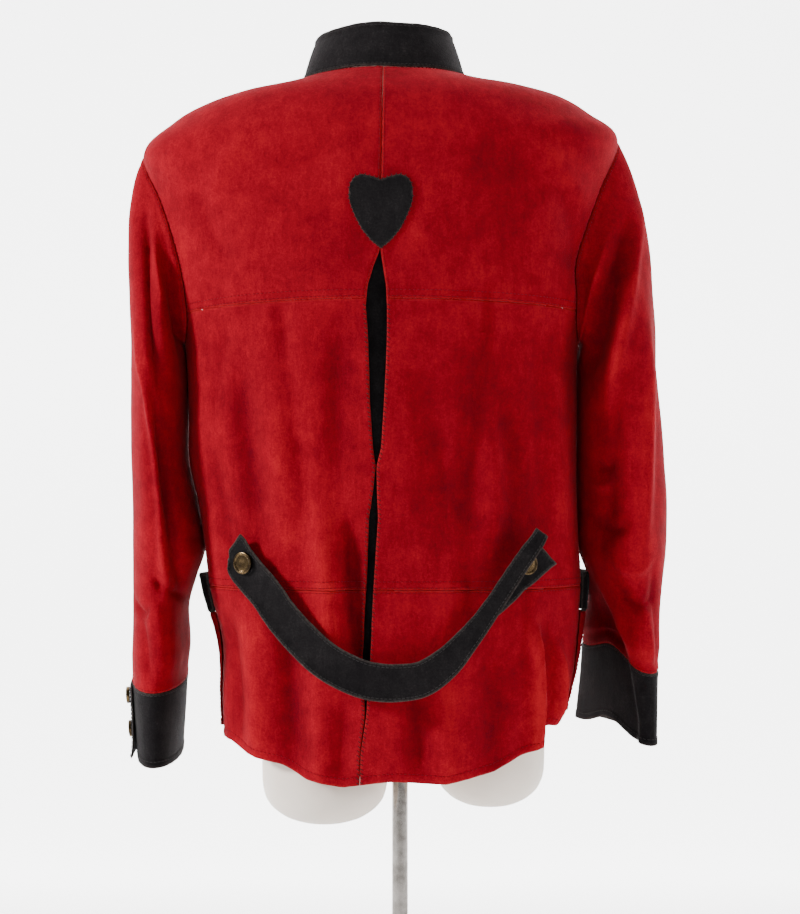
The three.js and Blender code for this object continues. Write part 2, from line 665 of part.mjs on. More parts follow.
// ---------------------------------------------------------------- patch pockets
function pocketPoint(side, part, level, off) {
  const turn = mirrorSide[side] * mix(POCKET.from, POCKET.to, part);
  const rise = (level - POCKET.low) / (POCKET.high - POCKET.low);
  const gape = POCKET.gape * Math.sin(Math.PI * part) ** 0.5 * smooth(rise) ** 1.2;
  return torso(turn, level, LAY_GAP + 0.6 + gape + off);
}

for (const side of ['left', 'right']) {
  const bag = evenly(POCKET.low, POCKET.band - 0.004, 4);
  const band = evenly(POCKET.band + 0.004, POCKET.high, 2);
  const pocketWall = (levels, thick) => wall(7, levels.length - 1, (column, row, skin) => (
    pocketPoint(side, column / 7, levels[row], skin === 0 ? thick : 0)
  ));
  add(jacket, `pocket_${side}`, pocketWall(bag, CLOTH), redSuede());
  add(jacket, `pocket_band_${side}`, pocketWall(band, CLOTH + 0.6), blackSuede());
}

// ---------------------------------------------------------------- half belt
// The belt's middle line, then a strip across it that twists about that line.
function beltSection(place) {
  const across = curveThrough(BELT, 'across', place);
  const up = curveThrough(BELT, 'up', place);
  const away = curveThrough(BELT, 'away', place);
  const twist = curveThrough(BELT, 'twist', place) * DEG;
  const ahead = Math.min(place + 0.05, BELT.length - 1);
  const along = backPoint(curveThrough(BELT, 'across', ahead), curveThrough(BELT, 'up', ahead), away);
  along.sub(backPoint(curveThrough(BELT, 'across', ahead - 0.1), curveThrough(BELT, 'up', ahead - 0.1), away));
  along.normalize();
  const middle = backPoint(across, up, away);
  const level = levelAt(across, up);
  const outward = torsoNormal(turnAcross(across, level), level);
  const width = outward.clone().cross(along).normalize();
  const face = along.clone().cross(width).normalize();
  if (face.dot(outward) < 0) face.negate();
  const tilted = width.clone().multiplyScalar(Math.cos(twist)).addScaledVector(face, Math.sin(twist));
  const lifted = face.clone().multiplyScalar(Math.cos(twist)).addScaledVector(width, -Math.sin(twist));
  return { middle, along, width: tilted, face: lifted };
}

const beltPlaces = evenly(0, BELT.length - 1, 34);
add(jacket, 'half_belt', loft(beltPlaces.map((place) => {
  const section = beltSection(place);
  const half = curveThrough(BELT, 'wide', place) / 2;
  const loop = [];
  for (const [part, lift] of [[-1, -1], [0, -1], [1, -1], [1, 1], [0, 1], [-1, 1]]) {
    loop.push(section.middle.clone()
      .addScaledVector(section.width, part * half)
      .addScaledVector(section.face, lift * 1.3));
  }
  return loop;
})), blackSuede());

add(jacket, 'belt_end_flap', wall(5, 3, (column, row, side) => {
  const [outerTop, outerLow, innerLow, innerTop] = FLAP;
  const part = column / 5;
  const low = { across: mix(outerLow.across, innerLow.across, part), up: mix(outerLow.up, innerLow.up, part) };
  const top = { across: mix(outerTop.across, innerTop.across, part), up: mix(outerTop.up, innerTop.up, part) };
  const across = mix(low.across, top.across, row / 3);
  const up = mix(low.up, top.up, row / 3);
  return backPoint(across, up, FLAP_OFF + (side === 0 ? CLOTH : 0));
}), blackSuede());

// ---------------------------------------------------------------- buttons
// A round metal button with a raised rim, standing on its own short shank.
function buttonGeometry(diameter) {
  const radius = diameter / 2;
  const profile = [
    [0, 0], [radius * 0.8, 0], [radius, 1.5], [radius * 0.9, 3.4], [radius * 0.7, 2.6], [0, 2.6],
  ];
  const geometry = new THREE.LatheGeometry(profile.map(([x, y]) => new THREE.Vector2(x, y)), 12);
  geometry.deleteAttribute('normal');
  geometry.deleteAttribute('uv');
  const merged = mergeVertices(geometry, 1e-4);
  merged.rotateX(Math.PI / 2);
  return merged;
}

function addButton(name, place, outward, diameter = BUTTON_DIAMETER) {
  const geometry = buttonGeometry(diameter);
  const mesh = add(jacket, name, geometry, brass());
  mesh.position.copy(place);
  mesh.quaternion.setFromUnitVectors(new THREE.Vector3(0, 0, 1), outward.clone().normalize());
}

const leftEnd = beltSection(1);
addButton('belt_button_left', leftEnd.middle.addScaledVector(leftEnd.face, 1.9), leftEnd.face);

const flapTop = backPoint(BUTTONED.across, BUTTONED.up, FLAP_OFF + CLOTH + 0.6);
const buttonLevel = levelAt(BUTTONED.across, BUTTONED.up);
const flapFace = torsoNormal(turnAcross(BUTTONED.across, buttonLevel), buttonLevel);
addButton('belt_button_right', flapTop, flapFace);

for (const side of ['left', 'right']) {
  const step = side === 'left' ? -0.2 : 4.2;
  for (const [name, part] of [['upper', 0.24], ['lower', 0.62]]) {
    const place = cuffPlace + part;
    const outward = sleeve(side, step, place, 1).sub(sleeve(side, step, place));
    const point = sleeve(side, step, place, LAY_GAP + CLOTH + 2.2);
    addButton(`cuff_button_${side}_${name}`, point, outward, 17);
  }
}

[1.4, 3.8, 6.2, 8.6, 11].forEach((level, index) => {
  const off = 2 * CLOTH + 0.1;
  addButton(`front_button_${index + 1}`, torso(180, level, off), torsoNormal(180, level));
});

// ---------------------------------------------------------------- dress form
const wasm = await Module();
wasm.setup();

function toManifold(geometry) {
  const bare = new THREE.BufferGeometry();
  bare.setAttribute('position', geometry.getAttribute('position').clone());
  bare.setIndex(geometry.getIndex().clone());
  const merged = mergeVertices(bare, 1e-4);
  return new wasm.Manifold(new wasm.Mesh({
    numProp: 3,
    vertProperties: new Float32Array(merged.getAttribute('position').array),
    triVerts: new Uint32Array(merged.getIndex().array),
  }));
}

function fromManifold(solid) {
  const mesh = solid.getMesh();
  const geometry = new THREE.BufferGeometry();
  geometry.setAttribute('position', new THREE.Float32BufferAttribute(mesh.vertProperties, 3));
  geometry.setIndex(Array.from(mesh.triVerts));
  return geometry;
}

function ellipseRing(across, depth, halfX, deep, bulge, high, count = 26) {
  return Array.from({ length: count }, (_, index) => {
    const angle = index / count * 2 * Math.PI;
    const reach = Math.sin(angle) < 0 ? deep : bulge;
    return new THREE.Vector3(
      across + halfX * Math.cos(angle), depth + reach * Math.sin(angle), high,
    );
  });
}

const trunk = loft(FORM.map((ring) => (
  ellipseRing(ring.shift + HANG, 0, ring.half, ring.deep, ring.bulge, ring.high)
)));
let form = toManifold(trunk);
for (const thigh of THIGHS) {
  const rings = [0, 6, 18, 34, 70, 130].map((rise) => {
    const round = rise >= 34 ? 1 : Math.sqrt(1 - ((34 - rise) / 34) ** 2 * 0.86);
    return ellipseRing(
      thigh.across + HANG, thigh.depth * (1 - rise / 260), thigh.half * round, thigh.deep * round,
      thigh.deep * round, thigh.foot + rise, 24,
    );
  });
  form = form.add(toManifold(loft(rings)));
}

// The pole runs up into the form, so the form keeps a socket for it.
const poleTop = 640;
const socket = new THREE.CylinderGeometry(POLE_DIAMETER / 2 + 0.4, POLE_DIAMETER / 2 + 0.4, 400, 24);
socket.rotateX(Math.PI / 2);
socket.translate(0, 0, poleTop + 1 - 200);
form = form.subtract(toManifold(socket));
add(stand, 'dress_form', fromManifold(form), formCream());

// ---------------------------------------------------------------- pole and base
const pole = new THREE.CylinderGeometry(
  POLE_DIAMETER / 2, POLE_DIAMETER / 2, poleTop - BASE_HEIGHT - 26, 24,
);
pole.rotateX(Math.PI / 2);
pole.translate(0, 0, (poleTop + BASE_HEIGHT + 26) / 2);
add(stand, 'stand_pole', pole, chrome());

const radius = BASE_DIAMETER / 2;
const baseProfile = [
  [0, 0], [radius - 2, 0], [radius, 2], [radius, BASE_HEIGHT - 3], [radius - 3, BASE_HEIGHT],
  [24, BASE_HEIGHT + 4], [14, BASE_HEIGHT + 10], [12, BASE_HEIGHT + 25.7], [0, BASE_HEIGHT + 25.7],
];
const base = new THREE.LatheGeometry(baseProfile.map(([x, y]) => new THREE.Vector2(x, y)), 36);
base.rotateX(Math.PI / 2);
add(stand, 'stand_base', base, chrome());

const model = new THREE.Group();
model.add(jacket, stand);
export default model;
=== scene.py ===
# %% [markdown]
# # A suede jacket on a dress form
# The jacket hangs on a smooth, limbless form. Its construction is already fixed: the
# imported frame holds every sewn piece as a plain solid at its real size. This lesson gives
# each piece its creases, seams, stitches and nap. The frame is loaded first, and its box
# is kept, to be printed at the end beside the box of the finished scene. The frame is
# loaded first, and its box is kept, because the finished pieces have to stay the size of
# the frame.

# %% Load the frame
import math
import bmesh
import bpy
import numpy as np
from mathutils import Matrix, Vector


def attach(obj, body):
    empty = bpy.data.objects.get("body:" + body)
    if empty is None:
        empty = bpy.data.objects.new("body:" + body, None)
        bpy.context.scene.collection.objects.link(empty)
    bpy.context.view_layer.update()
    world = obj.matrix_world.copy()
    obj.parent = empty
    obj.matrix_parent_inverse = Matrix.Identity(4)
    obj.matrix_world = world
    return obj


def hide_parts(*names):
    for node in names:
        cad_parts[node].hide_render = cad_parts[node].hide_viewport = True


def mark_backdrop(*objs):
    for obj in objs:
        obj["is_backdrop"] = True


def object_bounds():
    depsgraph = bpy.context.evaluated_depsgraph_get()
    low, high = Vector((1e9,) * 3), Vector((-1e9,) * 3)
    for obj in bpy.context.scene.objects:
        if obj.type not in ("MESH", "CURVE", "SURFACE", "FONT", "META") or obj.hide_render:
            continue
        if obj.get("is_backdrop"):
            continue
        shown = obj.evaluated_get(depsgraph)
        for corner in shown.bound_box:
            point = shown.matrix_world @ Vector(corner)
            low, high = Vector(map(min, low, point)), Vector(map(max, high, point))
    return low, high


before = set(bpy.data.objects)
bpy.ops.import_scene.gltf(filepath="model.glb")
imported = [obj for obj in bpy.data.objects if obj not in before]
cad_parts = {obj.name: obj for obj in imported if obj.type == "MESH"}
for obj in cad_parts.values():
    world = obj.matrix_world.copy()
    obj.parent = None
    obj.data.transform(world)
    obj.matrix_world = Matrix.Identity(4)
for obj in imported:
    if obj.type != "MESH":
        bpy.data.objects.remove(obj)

FRAME_BOX = [list(corner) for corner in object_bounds()]
MM = 0.001
print("frame box", [[round(v, 3) for v in corner] for corner in FRAME_BOX])

# %% [markdown]
# ## Camera
# A product camera stands level with the middle of the jacket, two metres behind it. The
# long distance keeps the shoulders and the hem at nearly one scale.

# %% Camera
CAMERA_AWAY, CAMERA_HIGH, FRAME_HIGH = 2.0, 0.700, 0.914

camera_data = bpy.data.cameras.new("camera")
camera_data.sensor_fit = 'VERTICAL'
camera_data.angle_y = 2 * math.atan(FRAME_HIGH / 2 / CAMERA_AWAY)
camera = bpy.data.objects.new("camera", camera_data)
bpy.context.scene.collection.objects.link(camera)
camera.location = (0.0, -CAMERA_AWAY, CAMERA_HIGH)
camera.rotation_euler = (math.pi / 2, 0, 0)
bpy.context.scene.camera = camera
print("camera", tuple(round(v, 3) for v in camera.location))

# %% [markdown]
# ## Small helpers
# Operators act on whatever is selected, so a clean selection comes before each of them.
# Every finished piece is handed to one function, which says what it rides on, which solids
# it stands for and which material it wears.

# %% Helpers for selection and hand-over
def deselect():
    bpy.ops.object.select_all(action='DESELECT')


def only(obj):
    deselect()
    obj.select_set(True)
    bpy.context.view_layer.objects.active = obj


def apply_modifiers(obj):
    only(obj)
    for modifier in list(obj.modifiers):
        bpy.ops.object.modifier_apply(modifier=modifier.name)


def hand_over(obj, material, slot, *nodes):
    obj.data.materials.clear()
    obj.data.materials.append(material)
    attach(obj, "root")
    if nodes:
        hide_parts(*nodes)
    print(obj.name, len(obj.data.polygons), "faces")


# %% [markdown]
# ## The body of the jacket
# The cut of a jacket is easiest to hold as rings round the body, from the hem to the neck.
# A ring is a superellipse: rounder than a box and fuller than an ellipse. Each row gives
# the ring's heights at the side, the back and the front, how much the left side drops, its
# half width, its depths behind and in front, its sideways place and its squareness. All of
# it is in millimetres, and a smooth curve runs through the rows.

# %% Rings of the body
HANG = -3.0
WAIST_SEAM, ARMPIT, SHOULDER_POINT, NECK = 3, 7, 11, 16
YOKE_SEAM = ARMPIT + (SHOULDER_POINT - ARMPIT) * 0.1464

BODY_COLUMNS = "side rear fore drop half deep bulge shift square".split()
BODY = np.array([
    [425, 392, 400, 0, 168, 112, 118, -3, 2.2],
    [470, 452, 456, 0, 173, 115, 120, 0, 2.2],
    [520, 514, 514, 0, 176, 118, 121, 2, 2.2],
    [573, 574, 574, 0, 183.5, 117, 121, -2.5, 2.3],
    [635, 636, 636, 0, 187, 115, 123, -8, 2.3],
    [694, 697, 697, 0, 193.5, 115, 126, -13.5, 2.3],
    [753, 758, 757, 0, 194, 117, 129, -14, 2.3],
    [812, 820, 814, 1, 195, 120, 131, -14.5, 2.3],
    [863, 869, 860, 4, 202, 122, 131, -16, 2.3],
    [914, 917, 902, 8, 211, 122, 127, -17, 2.3],
    [965, 962, 942, 12, 222, 120, 120, -17, 2.3],
    [1016, 1003, 974, 15, 236, 116, 110, -16, 2.3],
    [1040, 1028, 990, 10, 208, 112, 102, -16, 2.25],
    [1056, 1046, 1000, 9, 180, 106, 96, -15, 2.2],
    [1066, 1058, 1006, 7, 146, 98, 90, -14, 2.15],
    [1071, 1067, 1009, 6, 112, 89, 84, -13.5, 2.1],
    [1077, 1076, 1012, 4, 82, 78, 76, -13, 2],
], float)

HEM_TURN = [-180, -150, -120, -90, -70, -55, -38, -28, -15, 0, 15, 33, 47, 60, 75, 90, 120, 150, 180]
HEM_HIGH = [402, 402, 412, 424, 423, 415, 406, 394, 387, 393, 390, 400, 416, 438, 447, 445, 426,
            406, 402]
print("rings", len(BODY), "places on the hem", len(HEM_TURN))

# %% [markdown]
# The rows are joined by a curve that passes through each of them, so the body has no kinks
# at the rings. A point is then named by two numbers that mean something on a jacket: the
# turn from the centre back, in degrees, and the level up from the hem, in rows.

# %% Points of the body
def through(rows, place):
    """Smooth values of a table's columns at each place along its rows."""
    place = np.clip(np.asarray(place, float), 0, len(rows) - 1)
    index = np.minimum(place.astype(int), len(rows) - 2)
    part = (place - index)[..., None]
    pick = lambda row: rows[np.clip(row, 0, len(rows) - 1)]
    before, start, end, after = (pick(index + k) for k in (-1, 0, 1, 2))
    square, cube = part ** 2, part ** 3
    return ((2 * cube - 3 * square + 1) * start + (cube - 2 * square + part) * (end - before) / 2
            + (3 * square - 2 * cube) * end + (cube - square) * (after - start) / 2)


def ring(level):
    values = through(BODY, level)
    found = {name: values[..., k] for k, name in enumerate(BODY_COLUMNS)}
    found["shift"] = found["shift"] + HANG
    return found


def signed_power(value, power):
    return np.sign(value) * np.abs(value) ** power


def smooth(value):
    part = np.clip(value, 0, 1)
    return part * part * (3 - 2 * part)


def plain_body(turn, level):
    """A point of the body's outer face. turn is the angle from the centre back."""
    turn, level = np.broadcast_arrays(np.asarray(turn, float), np.asarray(level, float))
    row = ring(level)
    sine, cosine = np.sin(np.radians(turn)), np.cos(np.radians(turn))
    x = row["shift"] + row["half"] * signed_power(sine, 2 / row["square"])
    behind = cosine > 0
    y = -np.where(behind, row["deep"], row["bulge"]) * signed_power(cosine, 2 / row["square"])
    end = np.where(behind, row["rear"], row["fore"])
    z = row["side"] + (end - row["side"]) * cosine ** 2
    z = z - row["drop"] * np.maximum(0, -sine) ** 2
    flat = BODY[0, 0] + (np.where(behind, BODY[0, 1], BODY[0, 2]) - BODY[0, 0]) * cosine ** 2
    z = z + (np.interp(turn, HEM_TURN, HEM_HIGH) - flat) * np.clip(1 - level / 2, 0, 1) ** 2
    return np.stack([x, y, z], -1)


def unit(vectors):
    return vectors / np.maximum(np.linalg.norm(vectors, axis=-1, keepdims=True), 1e-9)


def body_normal(turn, level):
    around = plain_body(turn + 0.5, level) - plain_body(turn - 0.5, level)
    above, below = np.minimum(NECK, level + 0.05), np.maximum(0, level - 0.05)
    up = plain_body(turn, above) - plain_body(turn, below)
    return unit(np.cross(around, up))


def turn_across(across, level):
    row = ring(level)
    part = np.clip((across + HANG - row["shift"]) / row["half"], -1, 1)
    return np.degrees(np.arcsin(signed_power(part, row["square"] / 2)))


def level_at(across, up):
    low, high = np.zeros_like(up, float), np.full_like(up, float(NECK))
    for _ in range(24):
        middle = (low + high) / 2
        below = plain_body(turn_across(across, middle), middle)[..., 2] < up
        low, high = np.where(below, middle, low), np.where(below, high, middle)
    return (low + high) / 2


print("half width at the chest", ring(ARMPIT + 1.0)["half"])

# %% [markdown]
# ## Creases
# Suede is soft and heavy, so it hangs in a few long folds and crumples where an arm bends.
# A simulation would place them by chance. Placing them one by one puts each fold where this
# jacket has it. A crease is a soft line through three places on the cloth, given across and
# up, with a half width on each side of the line and a height: minus is a trough. Where the
# two widths differ, one side of the fold is steeper, as when cloth rolls over.

# %% Creases of the back and the fronts
# Columns: three places across, their three heights, the half widths left and right of the
# line (below and above it on a crease that runs across), and how tall it is.
BACK_CREASES = [
    [-48, -43, -37, 640, 577, 500, 9, 14, -6.5],
    [-72, -66, -60, 650, 577, 500, 20, 12, 4.5],
    [-154, -142, -133, 790, 698, 625, 12, 22, -4.5],
    [-128, -119, -112, 770, 690, 620, 18, 24, 2.6],
    [-54, -58, -56, 824, 732, 665, 12, 20, -3.2],
    [-112, -104, -94, 850, 780, 690, 7, 10, -1.8],
    [-100, -90, -86, 730, 660, 610, 9, 13, -2.0],
    [-178, -170, -160, 700, 650, 600, 9, 14, -3.0],
    [-163, -172, -178, 830, 790, 740, 14, 10, -2.2],
    [78, 72, 69, 808, 682, 600, 16, 24, -4.0],
    [98, 112, 108, 749, 682, 610, 14, 18, -4.0],
    [88, 95, 94, 770, 690, 612, 12, 9, 2.4],
    [84, 83, 82, 862, 838, 805, 4, 7, -1.9],
    [132, 140, 142, 820, 730, 640, 14, 22, -3.0],
    [150, 156, 160, 790, 700, 630, 10, 12, 2.4],
    [20, 26, 24, 790, 700, 620, 20, 26, -1.8],
    [36, 44, 40, 740, 660, 590, 12, 16, -1.7],
    [104, 98, 96, 640, 600, 575, 8, 10, -2.4],
    [118, 124, 128, 590, 560, 530, 9, 7, -2.6],
    [60, 66, 64, 600, 565, 530, 8, 10, -2.0],
    [14, 19, 24, 490, 450, 400, 12, 18, -4.5],
    [40, 48, 52, 500, 450, 395, 18, 14, 2.8],
    [126, 133, 127, 551, 490, 400, 5, 10, 8.0],
    [139, 144, 140, 540, 490, 420, 8, 7, -4.5],
    [152, 157, 151, 520, 490, 440, 4, 6, 5.5],
    [84, 90, 94, 520, 460, 400, 16, 18, -3.4],
    [-107, -102, -99, 545, 480, 400, 14, 20, -5.5],
    [-140, -136, -131, 545, 480, 400, 16, 14, 4.5],
    [-161, -157, -152, 540, 480, 425, 9, 9, -3.5],
    [-80, -76, -72, 500, 450, 392, 14, 16, 3.0],
    [-50, -54, -56, 470, 430, 390, 12, 12, -3.0],
    [-120, -128, -134, 600, 580, 560, 9, 9, -2.4],
    [-60, -90, -118, 986, 975, 968, 16, 16, -1.2],
    [70, 104, 136, 990, 980, 966, 18, 18, -1.3],
    [-190, -178, -160, 960, 915, 880, 12, 16, -2.0],
    [-150, -166, -182, 1000, 976, 940, 12, 14, 1.2],
    [160, 172, 176, 960, 915, 870, 16, 12, -2.0],
    [140, 158, 178, 1000, 978, 950, 14, 12, 1.2],
]
FRONT_CREASES = [
    [-120, -108, -100, 900, 820, 720, 14, 20, -4.0],
    [-60, -58, -62, 860, 740, 640, 18, 22, -2.6],
    [-150, -152, -148, 800, 700, 610, 16, 20, -4.0],
    [-92, -98, -104, 620, 520, 410, 18, 16, -4.5],
    [-40, -46, -50, 560, 480, 405, 16, 14, 3.5],
    [54, 60, 66, 850, 740, 650, 18, 20, -3.0],
    [104, 110, 104, 890, 800, 700, 14, 20, -4.0],
    [146, 144, 140, 800, 700, 600, 18, 16, -4.0],
    [84, 92, 98, 610, 520, 410, 16, 18, -4.5],
    [40, 42, 46, 540, 470, 405, 14, 16, 3.5],
    [-70, -104, -140, 960, 950, 940, 14, 14, -1.6],
    [60, 96, 134, 962, 952, 946, 14, 14, -1.6],
]
print("creases", len(BACK_CREASES), "behind", len(FRONT_CREASES), "in front")

# %% [markdown]
# Each crease adds a ridge or trough with a bell shaped section that fades at both ends.
# A few crossing waves on top of them stand for the slow swelling of hanging cloth.

# %% From creases to a surface
def crease_field(across, up, table, sharp=1.6):
    """Height of the creases at each place, in millimetres."""
    total = np.zeros(np.broadcast(across, up).shape)
    for *places, left, right, tall in table:
        x, z = places[:3], places[3:]
        vertical = abs(z[0] - z[2]) > abs(x[2] - x[0])
        (a1, a2, a3), (b1, b2, b3) = (z, x) if vertical else (x, z)
        run, side = (up, across) if vertical else (across, up)
        part = (run - a1) / (a3 - a1)
        bend = (a2 - a1) / (a3 - a1)
        cut = np.clip(part, -0.3, 1.3)
        bow = (b2 - b1 - (b3 - b1) * bend) * (cut * (1 - cut)) / (bend * (1 - bend))
        line = b1 + (b3 - b1) * cut + bow
        reach = smooth((part + 0.2) / 0.45) * smooth((1.2 - part) / 0.45)
        off = side - line
        wide = np.where(off < 0, left, right)
        total = total + tall * reach * np.exp(-np.abs(off / wide) ** sharp)
    return total


def waves(a, b, seed, size):
    """Slow uneven swelling of hanging cloth, a few sine waves crossing each other."""
    rng = np.random.default_rng(seed)
    total = 0
    for _ in range(7):
        angle = rng.uniform(0, 2 * math.pi)
        length = size * rng.uniform(0.6, 1.7)
        phase = rng.uniform(0, 2 * math.pi)
        way = a * math.cos(angle) + b * math.sin(angle)
        total = total + np.sin(way * 2 * math.pi / length + phase)
    return total / 7


def body_relief(turn, point):
    """How far the cloth stands off the plain body here."""
    across, up = point[..., 0] - HANG, point[..., 2]
    behind = np.abs(turn) < 90
    edge = smooth(np.abs(np.abs(turn) - 90) / 9)
    back = crease_field(across, up, BACK_CREASES)
    fore = crease_field(across, up, FRONT_CREASES)
    relief = 2.1 * np.where(behind, back, fore) * edge
    calm = 1 - 0.75 * smooth((up - 860) / 60)
    relief = relief + 2.6 * waves(across * 2.2, up, 3, 170) * calm
    return relief + 1.1 * waves(across * 1.6, up, 8, 60) * calm


def body(turn, level, off=0.0):
    turn, level = np.broadcast_arrays(np.asarray(turn, float), np.asarray(level, float))
    point = plain_body(turn, level)
    lift = body_relief(turn, point) + off
    return point + body_normal(turn, level) * np.asarray(lift)[..., None]


blade = body(np.array([-60.0]), np.array([10.0]))[0]
print("left shoulder blade", blade.round(1))

# %% [markdown]
# ## Cloth as a thin closed sheet
# A real piece of suede has two faces and a cut edge. The grid of its outer face is copied
# two millimetres inwards and the rims are joined, so each piece is a closed sheet. The rows
# next to an edge are close together and bend in, which gives a soft folded edge instead of
# a knife edge. Three values are stored with the points: the seam map in millimetres, for
# anything that follows the cloth, how proud the point is and how near an edge. Later the
# ridges get painted light and the hollows painted shade, and the edges a lighter colour
# that is partly rubbed wear and partly a painted sheen highlight.

# %% Grid with close rows near its edges
THICK = 2.0


def steps(length, spacing=3.6):
    """Parts from 0 to 1 along a length in millimetres, closer near both ends."""
    inner = np.linspace(0, 1, int(round(length / spacing)) + 1)
    extra = np.array([0.35, 1.0, 2.0]) / length
    return np.unique(np.concatenate([inner, extra, 1 - extra]).round(7))


def edge_round(distance, radius=1.0):
    """How far a face sinks within a radius of its cut edge."""
    part = np.clip(1 - distance / radius, 0, 1)
    return radius * (1 - np.sqrt(1 - part ** 2))


def make_mesh(name, points, faces):
    mesh = bpy.data.meshes.new(name)
    mesh.from_pydata((np.asarray(points) * MM).tolist(), [], faces)
    mesh.validate()
    mesh.polygons.foreach_set("use_smooth", [True] * len(mesh.polygons))
    obj = bpy.data.objects.new(name, mesh)
    bpy.context.scene.collection.objects.link(obj)
    return obj


def shell_faces(rows, columns, closed):
    """Faces of an outer and an inner grid, joined round their rims."""
    wide = columns if closed else columns + 1
    layer = wide * (rows + 1)
    at = lambda r, c, s: s * layer + r * wide + c % wide
    faces = []
    for r in range(rows):
        for c in range(columns):
            faces.append((at(r, c, 0), at(r, c + 1, 0), at(r + 1, c + 1, 0), at(r + 1, c, 0)))
            faces.append((at(r, c, 1), at(r + 1, c, 1), at(r + 1, c + 1, 1), at(r, c + 1, 1)))
        if not closed:
            last = columns
            faces.append((at(r, 0, 0), at(r + 1, 0, 0), at(r + 1, 0, 1), at(r, 0, 1)))
            faces.append((at(r, last, 0), at(r, last, 1), at(r + 1, last, 1), at(r + 1, last, 0)))
    for c in range(columns):
        faces.append((at(0, c, 0), at(0, c, 1), at(0, c + 1, 1), at(0, c + 1, 0)))
        faces.append((at(rows, c, 0), at(rows, c + 1, 0), at(rows, c + 1, 1), at(rows, c, 1)))
    return faces


print("a panel 176 mm wide has", len(steps(176)), "columns")

# %% [markdown]
# A seam and a hem leave their own marks. A sewn edge dips into the seam and puckers beside
# it. A folded hem is thicker, with a shallow groove where its stitches pull. Both are added
# to the grid before it gets its thickness.

# %% Cloth
def grid_normals(grid, closed):
    if closed:
        around = np.roll(grid, -1, 1) - np.roll(grid, 1, 1)
    else:
        around = np.gradient(grid, axis=1)
    return unit(np.cross(around, np.gradient(grid, axis=0)))


def edge_profile(distance, kind, along):
    """Relief beside an edge: s is sewn, h is a hem folded and stitched, . is plain."""
    if kind == "s":
        dip = -0.4 * np.exp(-distance / 1.7) + 0.28 * np.exp(-((distance - 4.5) / 2.4) ** 2)
        groove = -0.3 * np.exp(-((distance - 8) / 1.2) ** 2)
        pucker = 0.30 * np.sin(along * 0.62 + 1.3 * np.sin(along * 0.11)) * np.exp(-distance / 7)
        return dip + groove + pucker
    if kind == "h":
        fold = 0.45 * (1 - smooth((distance - 5) / 4)) - 0.4 * np.exp(-((distance - 7.5) / 1.4) ** 2)
        return fold + 0.22 * np.sin(along * 0.35 + 2 * np.sin(along * 0.07)) * np.exp(-distance / 8)
    return np.zeros_like(distance)


SURFACES = {}


def cloth(name, grid, edges="....", proud=0.0, closed=False, thick=THICK, outward=1):
    """A closed sheet from the grid of its outer face.

    edges gives the kinds of the first and last column and the first and last row.
    """
    rows, columns = grid.shape[0] - 1, grid.shape[1] - (0 if closed else 1)
    normal = grid_normals(grid, closed) * outward
    across = np.linalg.norm(np.diff(grid, axis=1), axis=-1)
    along = np.linalg.norm(np.diff(grid, axis=0), axis=-1)
    left = np.concatenate([np.zeros((rows + 1, 1)), np.cumsum(across, 1)], 1)
    base = np.concatenate([np.zeros((1, grid.shape[1])), np.cumsum(along, 0)], 0)
    right, top = left[:, -1:] - left, base[-1:] - base
    sides = [(base, edges[2], left), (top, edges[3], left)]
    if not closed:
        sides += [(left, edges[0], base), (right, edges[1], base)]
    lift = sum(edge_profile(distance, kind, run) for distance, kind, run in sides)
    away = np.minimum.reduce([distance for distance, _, _ in sides])
    grid = grid + normal * lift[..., None]
    sink = np.zeros_like(away)
    for distance, kind, _ in sides:
        radius = 0.35 if kind == "s" else thick / 2 * 0.96
        sink = np.maximum(sink, edge_round(distance, radius))
    outer = grid - normal * sink[..., None]
    inner = grid - normal * (thick - sink)[..., None]
    obj = make_mesh(name, np.concatenate([outer.reshape(-1, 3), inner.reshape(-1, 3)]),
                    shell_faces(rows, columns, closed))
    # The proud value, seam and hem relief included, later paints ridges lighter and hollows darker as
    # painted light and shade. The rim value later paints edges lighter, partly as rubbed wear and
    # partly as painted sheen.
    height = np.broadcast_to(proud, away.shape) + 1.5 * lift
    for label, values in (("proud", height), ("rim", away)):
        stored = obj.data.attributes.new(label, 'FLOAT', 'POINT')
        stored.data.foreach_set("value", np.concatenate([values.ravel()] * 2))
    flat = np.stack([left - left.mean(), base], -1).reshape(-1, 2)
    loops = np.zeros(len(obj.data.loops), int)
    obj.data.loops.foreach_get("vertex_index", loops)
    layer = obj.data.uv_layers.new(name="seam_map")
    layer.data.foreach_set("uv", (np.concatenate([flat, flat]) * MM)[loops].ravel())
    face_out(obj)
    SURFACES[name] = (grid, normal, left, base)
    return obj


def face_out(obj):
    """Turns a closed mesh the right way out if its volume is negative."""
    work = bmesh.new()
    work.from_mesh(obj.data)
    if work.calc_volume(signed=True) < 0:
        bmesh.ops.reverse_faces(work, faces=work.faces)
        work.to_mesh(obj.data)
    work.free()


print("cloth is", THICK, "mm thick")

# %% [markdown]
# ## Back and fronts
# The back is cut as yoke, middle panel and skirt, each in two halves, because the open
# pleat runs down its centre. The armhole is a scoop in the edge of those pieces. Each grid
# runs between its two edges, so the seams of neighbours meet.

# %% Edges of the panels
ARMHOLES = {
    "left": {"rear": 21, "fore": 26, "fade": 0.8},
    "right": {"rear": 20, "fore": 26, "fade": 1.05},
}
# Columns: height, then the places across of the pleat's left and right edge.
PLEAT = np.array([
    [385, -35.6, -35.4], [400, -35.1, -35.0], [420, -35, -34.8], [457, -30, -29], [513, -33, -25.4],
    [547, -31.5, -24], [594, -28.2, -21.2], [642, -26.3, -17.9], [666, -22.6, -18.8],
    [691, -19.9, -19.4], [709, -22.6, -15], [753, -25.4, -12.2], [789, -26.3, -10.3],
    [818, -27.3, -9.4], [842, -29, -9.4], [861, -27.3, -10.3], [880, -21.6, -13.2],
    [895, -15.5, -15.5], [960, -15, -15], [1076, -13, -13],
], float)
SIGN = {"left": -1, "right": 1}


